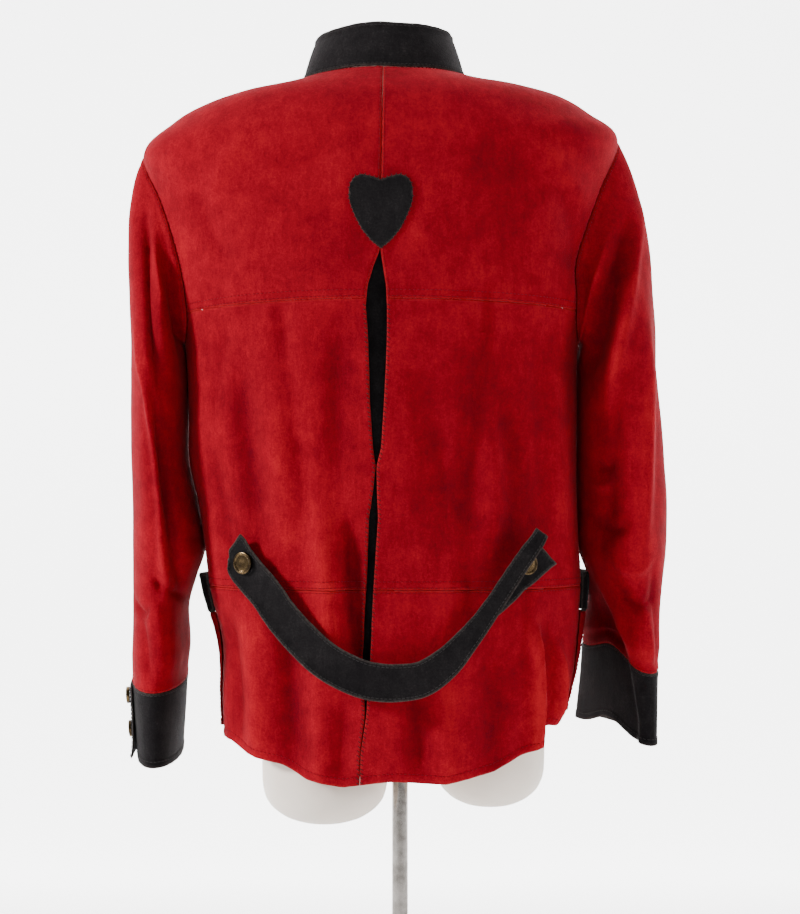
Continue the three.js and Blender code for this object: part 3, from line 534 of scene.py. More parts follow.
def armhole_opening(side, face, level):
    part = np.clip((level - ARMPIT) / (SHOULDER_POINT - ARMPIT), 0, 1)
    scoop = 2 * part ** 0.7 - 1
    fade = np.where(scoop < 0, 0.5, ARMHOLES[side]["fade"])
    return ARMHOLES[side][face] * np.maximum(0, 1 - scoop ** 2) ** fade


def side_edge(side, face, level):
    away = -1 if face == "rear" else 1
    return SIGN[side] * (90 + away * (0.05 + armhole_opening(side, face, level)))


def pleat_edge(side, level):
    column = 1 if side == "left" else 2
    across = np.interp(ring(level)["rear"], PLEAT[:, 0], PLEAT[:, column])
    return turn_across(across + SIGN[side] * 0.15, level)


def cosine_run(start, end, count):
    return start + (end - start) * (1 - np.cos(np.linspace(0, math.pi, count))) / 2


def join_runs(*runs):
    return np.unique(np.concatenate(runs).round(6))


WAIST_GAP, YOKE_GAP = 0.003, 0.0013
HOLE = cosine_run(ARMPIT, SHOULDER_POINT, 66)
TO_NECK = np.linspace(SHOULDER_POINT, NECK, 38)
LEVELS = {
    "back_yoke": join_runs([YOKE_SEAM + YOKE_GAP], HOLE[HOLE > YOKE_SEAM + 0.02], TO_NECK),
    "back_panel": join_runs(np.linspace(WAIST_SEAM + WAIST_GAP, ARMPIT, 66),
                            HOLE[HOLE < YOKE_SEAM - 0.02], [YOKE_SEAM - YOKE_GAP]),
    "back_skirt": np.linspace(0, WAIST_SEAM - WAIST_GAP, 52),
    "front": join_runs(np.linspace(0, ARMPIT, 118), HOLE, TO_NECK),
}
for key, run in LEVELS.items():
    first, last = run[1] - run[0], run[-1] - run[-2]
    near_start = [run[0] + first * part for part in (0.12, 0.35)]
    near_end = [run[-1] - last * part for part in (0.12, 0.35)]
    LEVELS[key] = join_runs(run, near_start, near_end)
print({key: len(run) for key, run in LEVELS.items()})

# %% [markdown]
# A half back goes from the side seam to the pleat. Both halves are made by one loop, and
# the kinds of edge are turned round on the right, where the pleat is the first column.

# %% Back pieces
HALF_BACK = 176
back_pieces = {}
for side in ("left", "right"):
    for key, edges in (("back_yoke", "sss."), ("back_panel", "shss"), ("back_skirt", "shhs")):
        level = LEVELS[key][:, None]
        outer, centre = side_edge(side, "rear", level), pleat_edge(side, level)
        start, end = (outer, centre) if side == "left" else (centre, outer)
        turn = start + (end - start) * steps(HALF_BACK)[None, :]
        if side == "right":
            edges = edges[1] + edges[0] + edges[2:]
        grid = body(turn, level)
        proud = body_relief(turn, plain_body(turn, level))
        back_pieces[f"{key}_{side}"] = cloth(f"{key}_{side}_suede", grid, edges, proud)
print(len(back_pieces), "back pieces")

# %% [markdown]
# The fronts lap at the centre front. The right one steps out over the left one there, by
# more than the thickness of the cloth, so they lie on each other and never cross.

# %% Fronts
LAP, STEP_OUT, HALF_FRONT = 26.0, 2.6, 205
front_pieces = {}
for side in ("left", "right"):
    level = LEVELS["front"][:, None]
    row = ring(level)
    lap = np.degrees(np.arcsin((LAP / 2 / row["half"]) ** (row["square"] / 2)))
    near, far = np.abs(side_edge(side, "fore", level)), 180 + lap
    turn = near + (far - near) * steps(HALF_FRONT)[None, :]
    step_out, edges = smooth((turn - (180 - 2.4 * lap)) / (1.1 * lap)) * STEP_OUT, "shhs"
    turn = SIGN[side] * turn
    if side == "left":
        turn, step_out, edges = turn[:, ::-1], 0 * turn, "hshs"
    grid = body(turn, level, step_out)
    proud = body_relief(turn, plain_body(turn, level)) + step_out
    front_pieces[f"front_{side}"] = cloth(f"front_{side}_suede", grid, edges, proud)
print(len(front_pieces), "fronts")

# %% [markdown]
# ## Sleeves and cuffs
# A sleeve starts on the armhole, drops in a soft curve and then hangs as a flattened tube.
# Its rows give height, place across, depth, the two half widths, turn and tilt. Long
# creases run down from the sleeve head and short ones cross at the elbow.

# %% Rows and creases of the sleeves
# Columns: height, place across, depth, half widths across and in depth, turn and tilt.
SLEEVES = {
    "left": np.array([
        [790, -236.8, 2, 25.5, 72, 0, 0], [740, -237.3, 4, 26, 71, 0, 0],
        [697, -237.3, 6, 26, 70, 0, 0], [655, -232.5, 8, 30, 68, 0, 0],
        [612, -228.8, 11, 33.6, 67, 0, 2], [580, -233.5, 14, 29, 66, 0, 4],
        [550, -237.5, 17, 25, 66, 0, 6], [515, -237.5, 20, 26, 65, 0, 8],
        [478, -239, 22, 27, 64, 0, 10], [402, -239, 25, 22, 62, 0, 8]], float),
    "right": np.array([
        [790, 219.5, 2, 37, 71, 0, 0], [740, 222, 4, 39.5, 70, 0, 0], [697, 223.5, 6, 41.5, 69, 0, 0],
        [655, 225, 8, 42.5, 68, 2, 0], [612, 225.5, 10, 41, 67, 5, 2], [580, 228.5, 11, 33, 64, 8, 5],
        [550, 228, 12, 28, 65, 13, 8], [525, 225, 13, 26, 67, 18, 10], [500, 224, 14, 25, 67, 21, 12],
        [425, 220, 16, 22, 68, 26, 8]], float),
}
CUFF_PLACE, CUFF_GAP = 9, 0.0045

SLEEVE_CREASES = {
    "left": [
        [-248, -245, -231, 945, 856, 766, 5, 10, -4.0],
        [-242, -234, -218, 927, 856, 752, 4, 8, 4.2],
        [-228, -217, -206, 905, 830, 740, 7, 8, -5.0],
        [-252, -238, -229, 802, 700, 520, 3, 8, 4.4],
        [-246, -231, -224, 790, 700, 610, 9, 6, -2.6],
        [-228, -217, -206, 753, 665, 557, 4, 12, 3.4],
        [-236, -226, -216, 740, 660, 560, 7, 5, -2.8],
        [-214, -202, -190, 656, 650, 653, 4, 6, -2.4],
        [-216, -204, -190, 638, 633, 639, 5, 4, 2.2],
        [-212, -200, -188, 622, 618, 625, 5, 5, -2.6],
        [-214, -204, -192, 607, 604, 610, 4, 5, 2.0],
        [-262, -254, -244, 560, 548, 552, 5, 6, -2.4],
        [-240, -228, -214, 580, 570, 562, 5, 6, -2.8],
        [-256, -250, -247, 545, 515, 485, 6, 8, -2.4],
        [-236, -228, -226, 550, 515, 482, 6, 9, 2.6],
        [-216, -214, -215, 540, 510, 484, 6, 7, -2.6],
        [-200, -192, -186, 860, 800, 740, 9, 9, 2.4],
    ],
    "right": [
        [218, 199, 178, 921, 845, 768, 12, 15, -5.5],
        [201, 183, 173, 909, 844, 729, 6, 8, 3.2],
        [236, 222, 204, 930, 850, 760, 9, 5, 3.6],
        [189, 210, 228, 597, 545, 465, 4, 12, 4.0],
        [182, 200, 218, 590, 540, 466, 9, 6, -3.0],
        [191, 197, 205, 693, 689, 692, 4, 5, -2.4],
        [190, 197, 206, 676, 672, 676, 5, 4, 2.0],
        [214, 208, 198, 770, 690, 612, 12, 14, -3.2],
        [238, 240, 230, 830, 700, 590, 6, 12, 3.0],
        [250, 252, 246, 860, 760, 640, 8, 9, -2.4],
        [188, 204, 224, 640, 628, 634, 6, 7, -2.4],
        [206, 222, 240, 606, 590, 596, 6, 7, 2.2],
        [214, 230, 246, 572, 556, 560, 6, 8, -2.8],
        [236, 242, 244, 560, 525, 490, 6, 7, 2.2],
        [246, 249, 250, 590, 540, 490, 6, 6, -2.2],
        [198, 196, 198, 560, 520, 488, 6, 7, -2.4],
    ],
}
FRONT_SIDE_CREASES = {
    "left": [
        [-250, -240, -232, 900, 820, 740, 9, 12, -3.4], [-222, -214, -210, 880, 800, 720, 10, 10, 3.0],
        [-252, -238, -222, 660, 648, 652, 6, 7, -3.0], [-250, -236, -220, 628, 616, 622, 6, 6, 2.6],
        [-252, -238, -222, 596, 584, 590, 6, 7, -3.0], [-236, -232, -234, 560, 520, 484, 8, 9, 2.6],
    ],
    "right": [
        [238, 226, 214, 900, 820, 740, 9, 12, -3.4], [210, 202, 196, 880, 800, 720, 10, 10, 3.0],
        [206, 222, 240, 660, 648, 652, 6, 7, -3.0], [206, 220, 238, 628, 616, 622, 6, 6, 2.6],
        [206, 220, 238, 596, 584, 590, 6, 7, -3.0], [222, 226, 224, 560, 520, 484, 8, 9, 2.6],
    ],
}
print({side: len(rows) for side, rows in SLEEVE_CREASES.items()}, "creases behind")

# %% [markdown]
# The head of the sleeve is a bundle of curves. Each starts on the edge of the armhole,
# leaves it outwards and arrives at the first hanging row pointing down. Below that row the
# tube follows its table. Round the tube, step 0 is the outer side and 6 the front.

# %% Plain sleeve
def hanging_point(side, angle, place):
    row = np.moveaxis(through(SLEEVES[side], place), -1, 0)
    high, across, depth, half_x, half_y, turn, tilt = row
    sine, cosine = np.sin(np.radians(angle)), np.cos(np.radians(angle))
    local_x, local_y = SIGN[side] * half_x * cosine, half_y * sine
    turned = np.radians(turn)
    x = across + HANG + local_x * np.cos(turned) - local_y * np.sin(turned)
    y = depth + local_x * np.sin(turned) + local_y * np.cos(turned)
    return np.stack([x, y, high + tilt * sine], -1)


def armhole_ring(side, step):
    """A sleeve's first ring lies on the edge of its armhole."""
    step = np.mod(step, 24)
    fore = step <= 12
    index = np.where(fore, 12 - step, step - 12)
    angle = np.radians(step * 15)
    on_edge = ARMPIT + 4 * (1 - np.cos(math.pi * index / 12)) / 2
    level = on_edge - 0.02 * np.cos(angle) + 0.02 * (1 - np.cos(angle)) / 2
    ahead, behind = (armhole_opening(side, face, on_edge) for face in ("fore", "rear"))
    opening = np.where(fore, ahead, behind)
    turn = np.maximum(0, opening - 0.15 * np.abs(np.sin(angle))) * np.where(fore, 1, -1)
    return body(SIGN[side] * (90 + turn), level, 0.3)


def plain_sleeve(side, step, place):
    step, place = np.broadcast_arrays(np.asarray(step, float), np.asarray(place, float))
    angle = step * 15
    hanging = hanging_point(side, angle, np.maximum(0, place - 1))
    start, end = armhole_ring(side, step), hanging_point(side, angle, 0 * place)
    top = ((1 + np.cos(np.radians(angle))) / 2)[..., None]
    reach = np.linalg.norm(end - start, axis=-1, keepdims=True)
    lead = np.concatenate([SIGN[side] * (1 - 0.5 * top), 0 * top, -0.2 - 0.65 * top], -1)
    lead = start + unit(lead) * reach * (0.3 - 0.1 * top)
    tail = end + np.array([0, 0, 1.0]) * reach * 0.45
    t = np.clip(place, 0, 1)[..., None]
    near, far = (1 - t) ** 3 * start + 3 * (1 - t) ** 2 * t * lead, 3 * (1 - t) * t * t * tail
    return np.where((place >= 1)[..., None], hanging, near + far + t ** 3 * end)


def sleeve_normal(side, step, place):
    low = np.maximum(0, place - 0.02)
    along = plain_sleeve(side, step, low + 0.04) - plain_sleeve(side, step, low)
    around = plain_sleeve(side, step + 0.5, place) - plain_sleeve(side, step - 0.5, place)
    return unit(np.cross(along, around)) * SIGN[side]


for side in SIGN:
    print(side, "cuff edge", plain_sleeve(side, 0.0, 10.0).round(1))

# %% [markdown]
# The creases are laid on the plain sleeve. Those behind and in front differ, so each set
# counts only where the cloth faces its way. Towards the body the ridges are held back,
# because the sleeve would push into the jacket there.

# %% Creased sleeve
def facing(normal, way):
    """1 where the cloth faces along Y that way, falling to 0 where it faces across."""
    return smooth(way * normal[..., 1] / 0.5 + 0.1)


def sleeve_relief(side, point, normal, place):
    """Creases of the sleeve, other ones behind than in front, fading at both ends."""
    behind, before = facing(normal, -1), facing(normal, 1)
    x, z = point[..., 0], point[..., 2]
    relief = 2.5 * behind * crease_field(x, z, SLEEVE_CREASES[side], 1.35)
    relief = relief + 1.3 * before * crease_field(x, z, FRONT_SIDE_CREASES[side])
    relief = relief + 0.8 * waves(x * 1.6 + point[..., 1], z, 21, 90)
    relief = relief + 0.4 * waves(x * 1.5, z, 33, 38)
    inner = smooth((SIGN[side] * -normal[..., 0] - 0.35) / 0.4)
    relief = relief - inner * np.maximum(relief, 0) * 0.8
    return relief * smooth(place / 0.35) * (1 - 0.9 * smooth((place - 8.6) / 0.4))


# Heights and places of the line where one layer goes under the other, how deep it goes,
# and the lowest and highest place of the fold.
LAYER_LINES = {
    "left": ([440, 557, 627, 674, 753, 800], [-204, -206, -212, -218, -228, -236], 2.6, 620, 790),
    "right": ([440, 476, 519, 545, 577, 597], [231, 225, 217, 209, 194, 188], 8.5, 300, 602),
}


def layer_step(side, point, normal):
    """The sleeve folds over itself below the elbow: one layer lies behind the other."""
    heights, places, deep, low, high = LAYER_LINES[side]
    line = np.interp(point[..., 2], heights, places)
    reach = smooth((high - point[..., 2]) / 30) * smooth((point[..., 2] - low) / 40)
    return -deep * facing(normal, -1) * reach * (1 - smooth((point[..., 0] - line + 3) / 7))


def sleeve(side, step, place, off=0.0):
    """Points of the finished sleeve, a distance off it, and how far its creases stand up."""
    step, place = np.broadcast_arrays(np.asarray(step, float), np.asarray(place, float))
    point, normal = plain_sleeve(side, step, place), sleeve_normal(side, step, place)
    lift = sleeve_relief(side, point, normal, place) + layer_step(side, point, normal)
    point = point + normal * (lift + off)[..., None]
    if side == "right":
        rise = 15 * np.exp(-((point[..., 0] - 209) / 17) ** 2) * facing(normal, -1)
        rise = rise * smooth((place - 7.4) / 1.4)
        point = point + np.array([0, 0, 1.0]) * rise[..., None]
    return point, lift


# %% [markdown]
# A sleeve ends a hair above its cuff, as the two are sewn together. The cuff goes on down
# the same surface. Its lap is a flat piece laid on it, and its free corner curls a little.

# %% Sleeves and cuffs
SLEEVE_STEPS = np.linspace(0, 24, 85)[:-1][None, :]
CUFF_EDGE = len(SLEEVES["left"])
sleeve_pieces, cuff_pieces = {}, {}
for side in ("left", "right"):
    out = -SIGN[side]
    end = CUFF_PLACE - CUFF_GAP
    place = join_runs(np.linspace(0, 1, 60), np.linspace(1, end, 108),
                      [0.004, 0.01, end - 0.01, end - 0.03])
    ease = 2.3 * smooth(place / 0.7) * (1 - smooth((place - 8.1) / 0.8))
    grid, lift = sleeve(side, SLEEVE_STEPS, place[:, None], ease[:, None])
    sleeve_pieces[f"sleeve_{side}"] = cloth(f"sleeve_{side}_suede", grid, "..ss", lift,
                                            closed=True, outward=out)
    start = CUFF_PLACE + CUFF_GAP
    place = join_runs(np.linspace(start, CUFF_EDGE, 26),
                      [start + 0.006, start + 0.016, CUFF_EDGE - 0.016, CUFF_EDGE - 0.006])[:, None]
    grid, _ = sleeve(side, SLEEVE_STEPS, place)
    swell = 0.5 * waves(SLEEVE_STEPS * 12, place * 60, 5, 60)
    grid = grid + sleeve_normal(side, SLEEVE_STEPS, place) * swell[..., None]
    cuff_pieces[f"cuff_{side}"] = cloth(f"cuff_{side}_suede", grid, "..sh", closed=True, outward=out)
    row, column = np.linspace(0, 1, 24)[:, None], np.linspace(0, 1, 12)[None, :]
    curl = 5 * row ** 3 * (1 - column) ** 2
    step = 4 * column + (-2.2 if side == "left" else 2.2)
    grid, _ = sleeve(side, step, CUFF_PLACE + 0.03 + 0.94 * row, 2.8 + curl)
    cuff_pieces[f"cuff_lap_{side}"] = cloth(f"cuff_lap_{side}_suede", grid, "hh.h", outward=out)
print(len(sleeve_pieces), "sleeves", len(cuff_pieces), "cuff pieces")

# %% [markdown]
# ## Pleat underlay, heart and collar
# The open pleat shows a dark panel sewn behind it. The heart is one piece of black suede
# laid on the yoke. The collar is a straight band, a little tighter at its top.

# %% Underlay and heart
def back_point(across, up, off=0.0):
    across, up = np.broadcast_arrays(np.asarray(across, float), np.asarray(up, float))
    level = level_at(across, up)
    return body(turn_across(across, level), level, off)


UNDERLAY_FROM, UNDERLAY_TO, UNDERLAY_HALF = 396, 912, 24
up = np.linspace(UNDERLAY_FROM, UNDERLAY_TO, 118)[:, None]
middle = sum(np.interp(up, PLEAT[:, 0], PLEAT[:, column]) for column in (1, 2)) / 2
across = middle + np.linspace(-UNDERLAY_HALF, UNDERLAY_HALF, 15)[None, :]
sag = 1.2 * waves(across * 2, up, 4, 120)
grid = back_point(across, up, -6.5) + np.array([0, 1.0, 0]) * (0.8 + sag)[..., None]
underlay = cloth("pleat_underlay_suede", grid, "hh..", sag)

HEART_MIDDLE, HEART_HALF, HEART_FOOT, HEART_THICK = -15, 30, 896, 1.6
# Columns: part of the half width, and the lower and the upper edge there.
HEART_OUTLINE = np.array([[0, 0, 65], [0.3, 7, 68], [0.6, 18, 70], [0.82, 31, 67.5], [0.95, 41, 62],
                          [1, 48, 55]], float)
part = np.sin(np.linspace(-1, 1, 41) * math.pi / 2)[None, :]
lower, upper = (np.interp(np.abs(part), HEART_OUTLINE[:, 0], HEART_OUTLINE[:, column])
                for column in (1, 2))
rise = np.linspace(0, 1, 30)[:, None]
across, up = HEART_MIDDLE + HEART_HALF * part, HEART_FOOT + lower + (upper - lower) * rise
middle = np.exp(-((rise - 0.5) / 0.35) ** 2) * (1 - part ** 2)
grid = back_point(across, up, 2.0 + 0.5 * middle)
heart = cloth("heart_patch_suede", grid, "....", 0.6 * middle, thick=HEART_THICK)
print("underlay", len(underlay.data.polygons), "heart", len(heart.data.polygons))

# %% [markdown]
# The collar stands on the neck edge of the body. Each row is that edge drawn in towards the
# neck, a little more at the sides than behind, so the collar leans in as a sewn band does.

# %% Collar
COLLAR_HIGH = 45
turn = np.linspace(-179, 179, 150)[None, :]
part = join_runs(np.linspace(0, 1, 18), [0.02, 0.98])[:, None]
base = body(turn, float(NECK))
centre = ring(float(NECK))["shift"]
x = centre + (base[..., 0] - centre) * (0.992 - 0.182 * part)
y = base[..., 1] * (0.992 - 0.152 * part)
z = base[..., 2] + 0.9 + part * COLLAR_HIGH * (1 - 0.1 * np.abs(turn) / 180)
grid = np.stack([x, y, z], -1)
swell = 0.7 * np.sin(math.pi * part) + 0.8 * waves(turn * 1.3, part * COLLAR_HIGH, 12, 70)
grid = grid + grid_normals(grid, False) * swell[..., None]
collar = cloth("stand_collar_suede", grid, "hhsh", swell)
print("collar", len(collar.data.polygons))

# %% [markdown]
# ## Patch pockets
# Each pocket is laid on the front near the side seam and gapes at its top, where a black
# band is sewn across. A loaded pocket bulges low down and puckers beside its band.

# %% Pockets
# Turns of its two sides, levels of its foot, top and band seam, and how far it gapes.
POCKET = {"from": 91.5, "to": 146, "low": 0.25, "high": 3.2, "band": 2.5, "gape": 15}
BAND_THICK = 2.6


def pocket_point(side, part, level, off):
    turn = SIGN[side] * (POCKET["from"] + (POCKET["to"] - POCKET["from"]) * part)
    rise = (level - POCKET["low"]) / (POCKET["high"] - POCKET["low"])
    gape = POCKET["gape"] * np.maximum(0, np.sin(math.pi * part)) ** 0.38 * smooth(rise) ** 1.2
    bulge = 1.6 * np.sin(math.pi * np.clip(part, 0, 1)) * np.exp(-((rise - 0.35) / 0.3) ** 2)
    return body(turn, level, 1.0 + gape + off + bulge)


pocket_pieces = {}
for side in ("left", "right"):
    part = np.linspace(0, 1, 46)[None, :]
    if side == "left":
        part = part[:, ::-1]
    low = join_runs(np.linspace(POCKET["low"], POCKET["band"] - 0.004, 40), [POCKET["low"] + 0.01])
    wave = 0.6 * waves(part * 150, low[:, None] * 58, 14, 60)
    grid = pocket_point(side, part, low[:, None], THICK + wave)
    pocket_pieces[f"pocket_{side}"] = cloth(f"pocket_{side}_suede", grid, "hhhs", wave)
    high = join_runs(np.linspace(POCKET["band"] + 0.004, POCKET["high"], 14), [POCKET["high"] - 0.01])
    grid = pocket_point(side, part, high[:, None], THICK + 0.6)
    pocket_pieces[f"pocket_band_{side}"] = cloth(f"pocket_band_{side}_suede", grid, "hhsh",
                                                 thick=BAND_THICK)
print(len(pocket_pieces), "pocket pieces")

# %% [markdown]
# ## Half belt
# The belt hangs as a slack strip from one button to the other. It lies flat and broad on
# the left. On the right it is folded lengthwise: one half lies on the back and carries the
# button, the other stands over it.

# %% Run of the belt
# Columns: place across, height, how far it stands off, its twist and its width.
BELT = np.array([
    [-157, 611, 5, 0, 30], [-145, 597, 5, 0, 36], [-121, 572, 7, 0, 36], [-105, 551, 9, 0, 36],
    [-85, 529, 11, 0, 36], [-63, 509, 12, 0, 36], [-36, 495, 13, 0, 36], [-14, 490, 13.5, 0, 36],
    [9, 490.5, 14, 0, 35], [26, 495, 14.5, -2, 33], [45, 509, 14.5, -5, 29], [60, 525.5, 14, -8, 24],
    [74, 542.5, 13, -10, 20], [86, 559, 12, -12, 18], [97, 575.5, 11.5, -12, 17.5],
    [107, 591, 11.5, -12, 17], [117.5, 607, 11.5, -11, 16.5], [127, 620, 10, -8, 15],
    [132, 627.5, 8, -4, 13],
], float)


def flat_point(across, up, off):
    """Over the plain back, as the belt spans the creases under it."""
    level = level_at(across, up)
    turn = turn_across(across, level)
    return plain_body(turn, level) + body_normal(turn, level) * np.asarray(off)[..., None]


def belt_frame(place):
    """Middle, direction, width, face and full width of the belt at places along its rows."""
    across, up, away, twist, wide = np.moveaxis(through(BELT, place), -1, 0)
    near = [through(BELT, np.clip(place + d, 0, len(BELT) - 1)) for d in (0.06, -0.06)]
    ahead, behind = (flat_point(row[..., 0], row[..., 1], away) for row in near)
    along = unit(ahead - behind)
    level = level_at(across, up)
    outward = body_normal(turn_across(across, level), level)
    width = unit(np.cross(outward, along))
    face = unit(np.cross(along, width))
    face = face * np.sign((face * outward).sum(-1, keepdims=True))
    width = width * np.sign(width[..., 2:3] + 1e-9)
    lean = np.radians(twist)[..., None]
    leant = width * np.cos(lean) + face * np.sin(lean), face * np.cos(lean) - width * np.sin(lean)
    return flat_point(across, up, away + 1.5), along, *leant, wide


place = join_runs(np.linspace(0, len(BELT) - 1, 130), [0.02, 0.06, 17.94, 17.98])
middle, along, width, face, wide = belt_frame(place)
print("belt steps", len(place), "from", middle[0].round(1), "to", middle[-1].round(1))

# %% [markdown]
# Across its width the belt is slightly cupped where it lies flat. Where it is folded it
# rolls over into a rounded back. Its left end is cut to a point at the upper corner.

# %% Belt
BELT_THICK, FOLD_FROM, FOLD_LONG = 2.4, 8.5, 4
part = np.array([[-1, -0.97, -0.9, -0.75, -0.55, -0.35, -0.15, 0.05, 0.25, 0.45, 0.65, 0.82, 0.93,
                  0.98, 1]])
place, wide = place[:, None], wide[:, None]
fold = smooth((place - FOLD_FROM) / FOLD_LONG)
cup = 1.1 * (part ** 2 - 0.4) * (1 - fold)
roll = fold * 5.5 * np.sqrt(np.clip(1 - ((part + 0.72) / 1.75) ** 2, 0, 1)) - fold * 2.0
shape = cup + roll + 0.6 * waves(place * 20, part * 12, 9, 70)
tip = 1 - 0.30 * np.clip(1 - place / 0.7, 0, 1) ** 2
near_tip = np.exp(-(place / 0.7) ** 1.5)
upper, lower = np.clip(part, 0, 1) ** 1.6, np.clip(-part, 0, 1)
outwards = part * (wide * tip) / 2
grid = middle[:, None] + width[:, None] * outwards[..., None] + face[:, None] * (1.3 + shape)[..., None]
grid = grid + along[:, None] * (near_tip * (11 * lower + 2 * upper))[..., None]
grid = grid + width[:, None] * (13 * near_tip * upper)[..., None]
belt = cloth("half_belt_suede", np.transpose(grid, (1, 0, 2)), "hhhh", thick=BELT_THICK)
print("belt", len(belt.data.polygons))

# %% [markdown]
# The other half of the folded end lies flat on the back. It is a four-sided piece, so its
# grid is blended between its lower and its upper edge.

# %% Belt end flap
# Its corners, as places across and heights.
FLAP = np.array([[132, 622], [151, 597], [88, 543.5], [84, 548]], float)
part, rise = np.linspace(0, 1, 34)[None, :], np.linspace(0, 1, 12)[:, None]
low = FLAP[1] + (FLAP[2] - FLAP[1]) * part[..., None]
top = FLAP[0] + (FLAP[3] - FLAP[0]) * part[..., None]
spot = low + (top - low) * rise[..., None]
across, up = spot[..., 0], spot[..., 1]
lift = 3.3 + 0.5 * waves(across, up, 6, 60) + 2.2 * (1 - part) ** 6 * (1 - rise) ** 2
flap = cloth("belt_end_flap_suede", back_point(across, up, lift)[:, ::-1], "hhh.")
print("flap", len(flap.data.polygons))

# %% [markdown]
# ## Stitches
# Thread is what tells sewn cloth from moulded cloth. Each stitch is a small rounded peg
# three millimetres long, laid along a line on the finished surface and sunk a little at
# both ends. All stitches of one seam are joined into one mesh made from arrays, because
# there are far too many to model one at a time.

# %% Lines to sew along
def edge_line(name, edge, distance):
    """Points and normals of a surface at a distance inside its bottom, top, left or right edge."""
    grid, normal, left, base = SURFACES[name]
    axis = 0 if edge in "bt" else 1
    run = base if axis == 0 else left
    if edge in "tr":
        run = np.take(run, [-1], axis) - run
    pick = np.argmin(np.abs(run - distance), axis=axis)
    line = np.arange(grid.shape[1 - axis])
    at = lambda row: (row, line) if axis == 0 else (line, row)
    index, other = at(pick), at(np.minimum(pick + 1, grid.shape[axis] - 1))
    gap = run[other] - run[index]
    open_gap = np.abs(gap) > 1e-6
    part = np.where(open_gap, (distance - run[index]) / np.where(open_gap, gap, 1), 0)
    return grid[index] + (grid[other] - grid[index]) * np.clip(part, -1, 1)[:, None], normal[index]


TUBES = ("sleeve", "cuff")
EDGE_NAMES = {
    "left": {"side": "l", "pleat": "r", "lap": "l"},
    "right": {"side": "r", "pleat": "l", "lap": "r"},
}


def seam_lines(seams, side):
    """The lines of a list of seams on one side of the jacket. A line round a tube is closed."""
    lines = []
    for kind, edge, distance in seams:
        line = edge_line(f"{kind}_{side}_suede", EDGE_NAMES[side].get(edge, edge), distance)
        lines.append([np.concatenate([run, run[:1]]) for run in line] if kind in TUBES else line)
    return lines


# Each seam is a piece, one of its edges and how far inside that edge the thread runs.
RED_SEAMS = [
    ("back_yoke", "b", 2.2), ("back_yoke", "b", 8.2), ("back_yoke", "pleat", 2.0),
    ("back_panel", "b", 2.2), ("back_panel", "b", 8.2), ("back_skirt", "t", 2.2),
    ("back_yoke", "t", 2.2), ("back_yoke", "side", 2.2), ("back_panel", "side", 2.2),
    ("back_skirt", "b", 8.0), ("front", "b", 8.0), ("front", "lap", 3.0), ("front", "lap", 9.0),
    ("front", "t", 2.2), ("sleeve", "t", 2.2), ("sleeve", "b", 2.4), ("pocket", "b", 3.0),
    ("pocket", "l", 3.0), ("pocket", "r", 3.0),
]
BLACK_SEAMS = [
    ("cuff", "b", 2.2), ("cuff", "t", 6.5), ("cuff_lap", "l", 3.0), ("cuff_lap", "r", 3.0),
    ("cuff_lap", "t", 3.0), ("pocket_band", "t", 3.0), ("pocket_band", "b", 2.4),
]
SINGLE_SEAMS = [
    ("half_belt", "b", 3.2), ("half_belt", "t", 3.2), ("half_belt", "l", 3.2),
    ("belt_end_flap", "b", 3.0), ("stand_collar", "b", 2.4), ("stand_collar", "t", 4.0),
    ("belt_end_flap", "r", 3.0),
]
WHIP_SEAMS = [("back_panel", "pleat", 1.6), ("back_skirt", "pleat", 1.6)]
red_lines, black_lines, whip_lines = (
    [line for side in SIGN for line in seam_lines(seams, side)]
    for seams in (RED_SEAMS, BLACK_SEAMS, WHIP_SEAMS))
black_lines += [edge_line(f"{kind}_suede", edge, distance) for kind, edge, distance in SINGLE_SEAMS]
whip_lines += [edge_line("heart_patch_suede", edge, 0.6) for edge in "lrbt"]
print("seams", len(red_lines), "red", len(black_lines), "black", len(whip_lines), "whipped")

# %% [markdown]
# A machine lays stitches end to end along the seam. A whip stitch goes over the edge, so it
# lies across the line. No two are quite alike, so each is moved and turned by a hair.

# %% Stitches
PEG_SIDES, PEG_RINGS = 6, [(-0.5, 0.35), (-0.36, 0.85), (0.0, 1.0), (0.36, 0.85), (0.5, 0.35)]
STITCH_LIFT = 0.12


def stitches(name, lines, thread=0.7, length=3.0, pitch=4.1, slant=0.0):
    """One mesh of stitches along lines. slant turns each one, in degrees."""
    points, faces = [], []
    rng = np.random.default_rng(len(lines) * 7 + 1)
    angle = np.arange(PEG_SIDES) / PEG_SIDES * 2 * math.pi
    for line, normals in lines:
        run = np.concatenate([[0], np.cumsum(np.linalg.norm(np.diff(line, axis=0), axis=1))])
        at = lambda place, rows: np.array([np.interp(place, run, rows[:, k]) for k in range(3)])
        for centre in np.arange(pitch / 2, run[-1] - pitch / 2, pitch):
            centre = centre + rng.uniform(-0.15, 0.15)
            middle, up = at(centre, line), unit(at(centre, normals))
            along = unit(at(centre + 1.5, line) - at(centre - 1.5, line))
            turned = math.radians(slant + rng.uniform(-3, 3))
            axis = along * math.cos(turned) + unit(np.cross(up, along)) * math.sin(turned)
            beside = unit(np.cross(up, axis))
            first = len(points)
            for place, size in PEG_RINGS:
                rise = STITCH_LIFT + thread / 2 * (0.4 - 3.0 * place ** 2)
                core = middle + axis * place * length + up * rise
                points += [core + (beside * math.cos(a) + up * math.sin(a)) * thread / 2 * size
                           for a in angle]
            rings = np.arange(first, len(points)).reshape(-1, PEG_SIDES).tolist()
            for low, high in zip(rings, rings[1:]):
                for k in range(PEG_SIDES):
                    after = (k + 1) % PEG_SIDES
                    faces.append((low[k], low[after], high[after], high[k]))
            faces += [rings[0][::-1], rings[-1]]
    obj = make_mesh(name, np.array(points), faces)
    face_out(obj)
    return obj


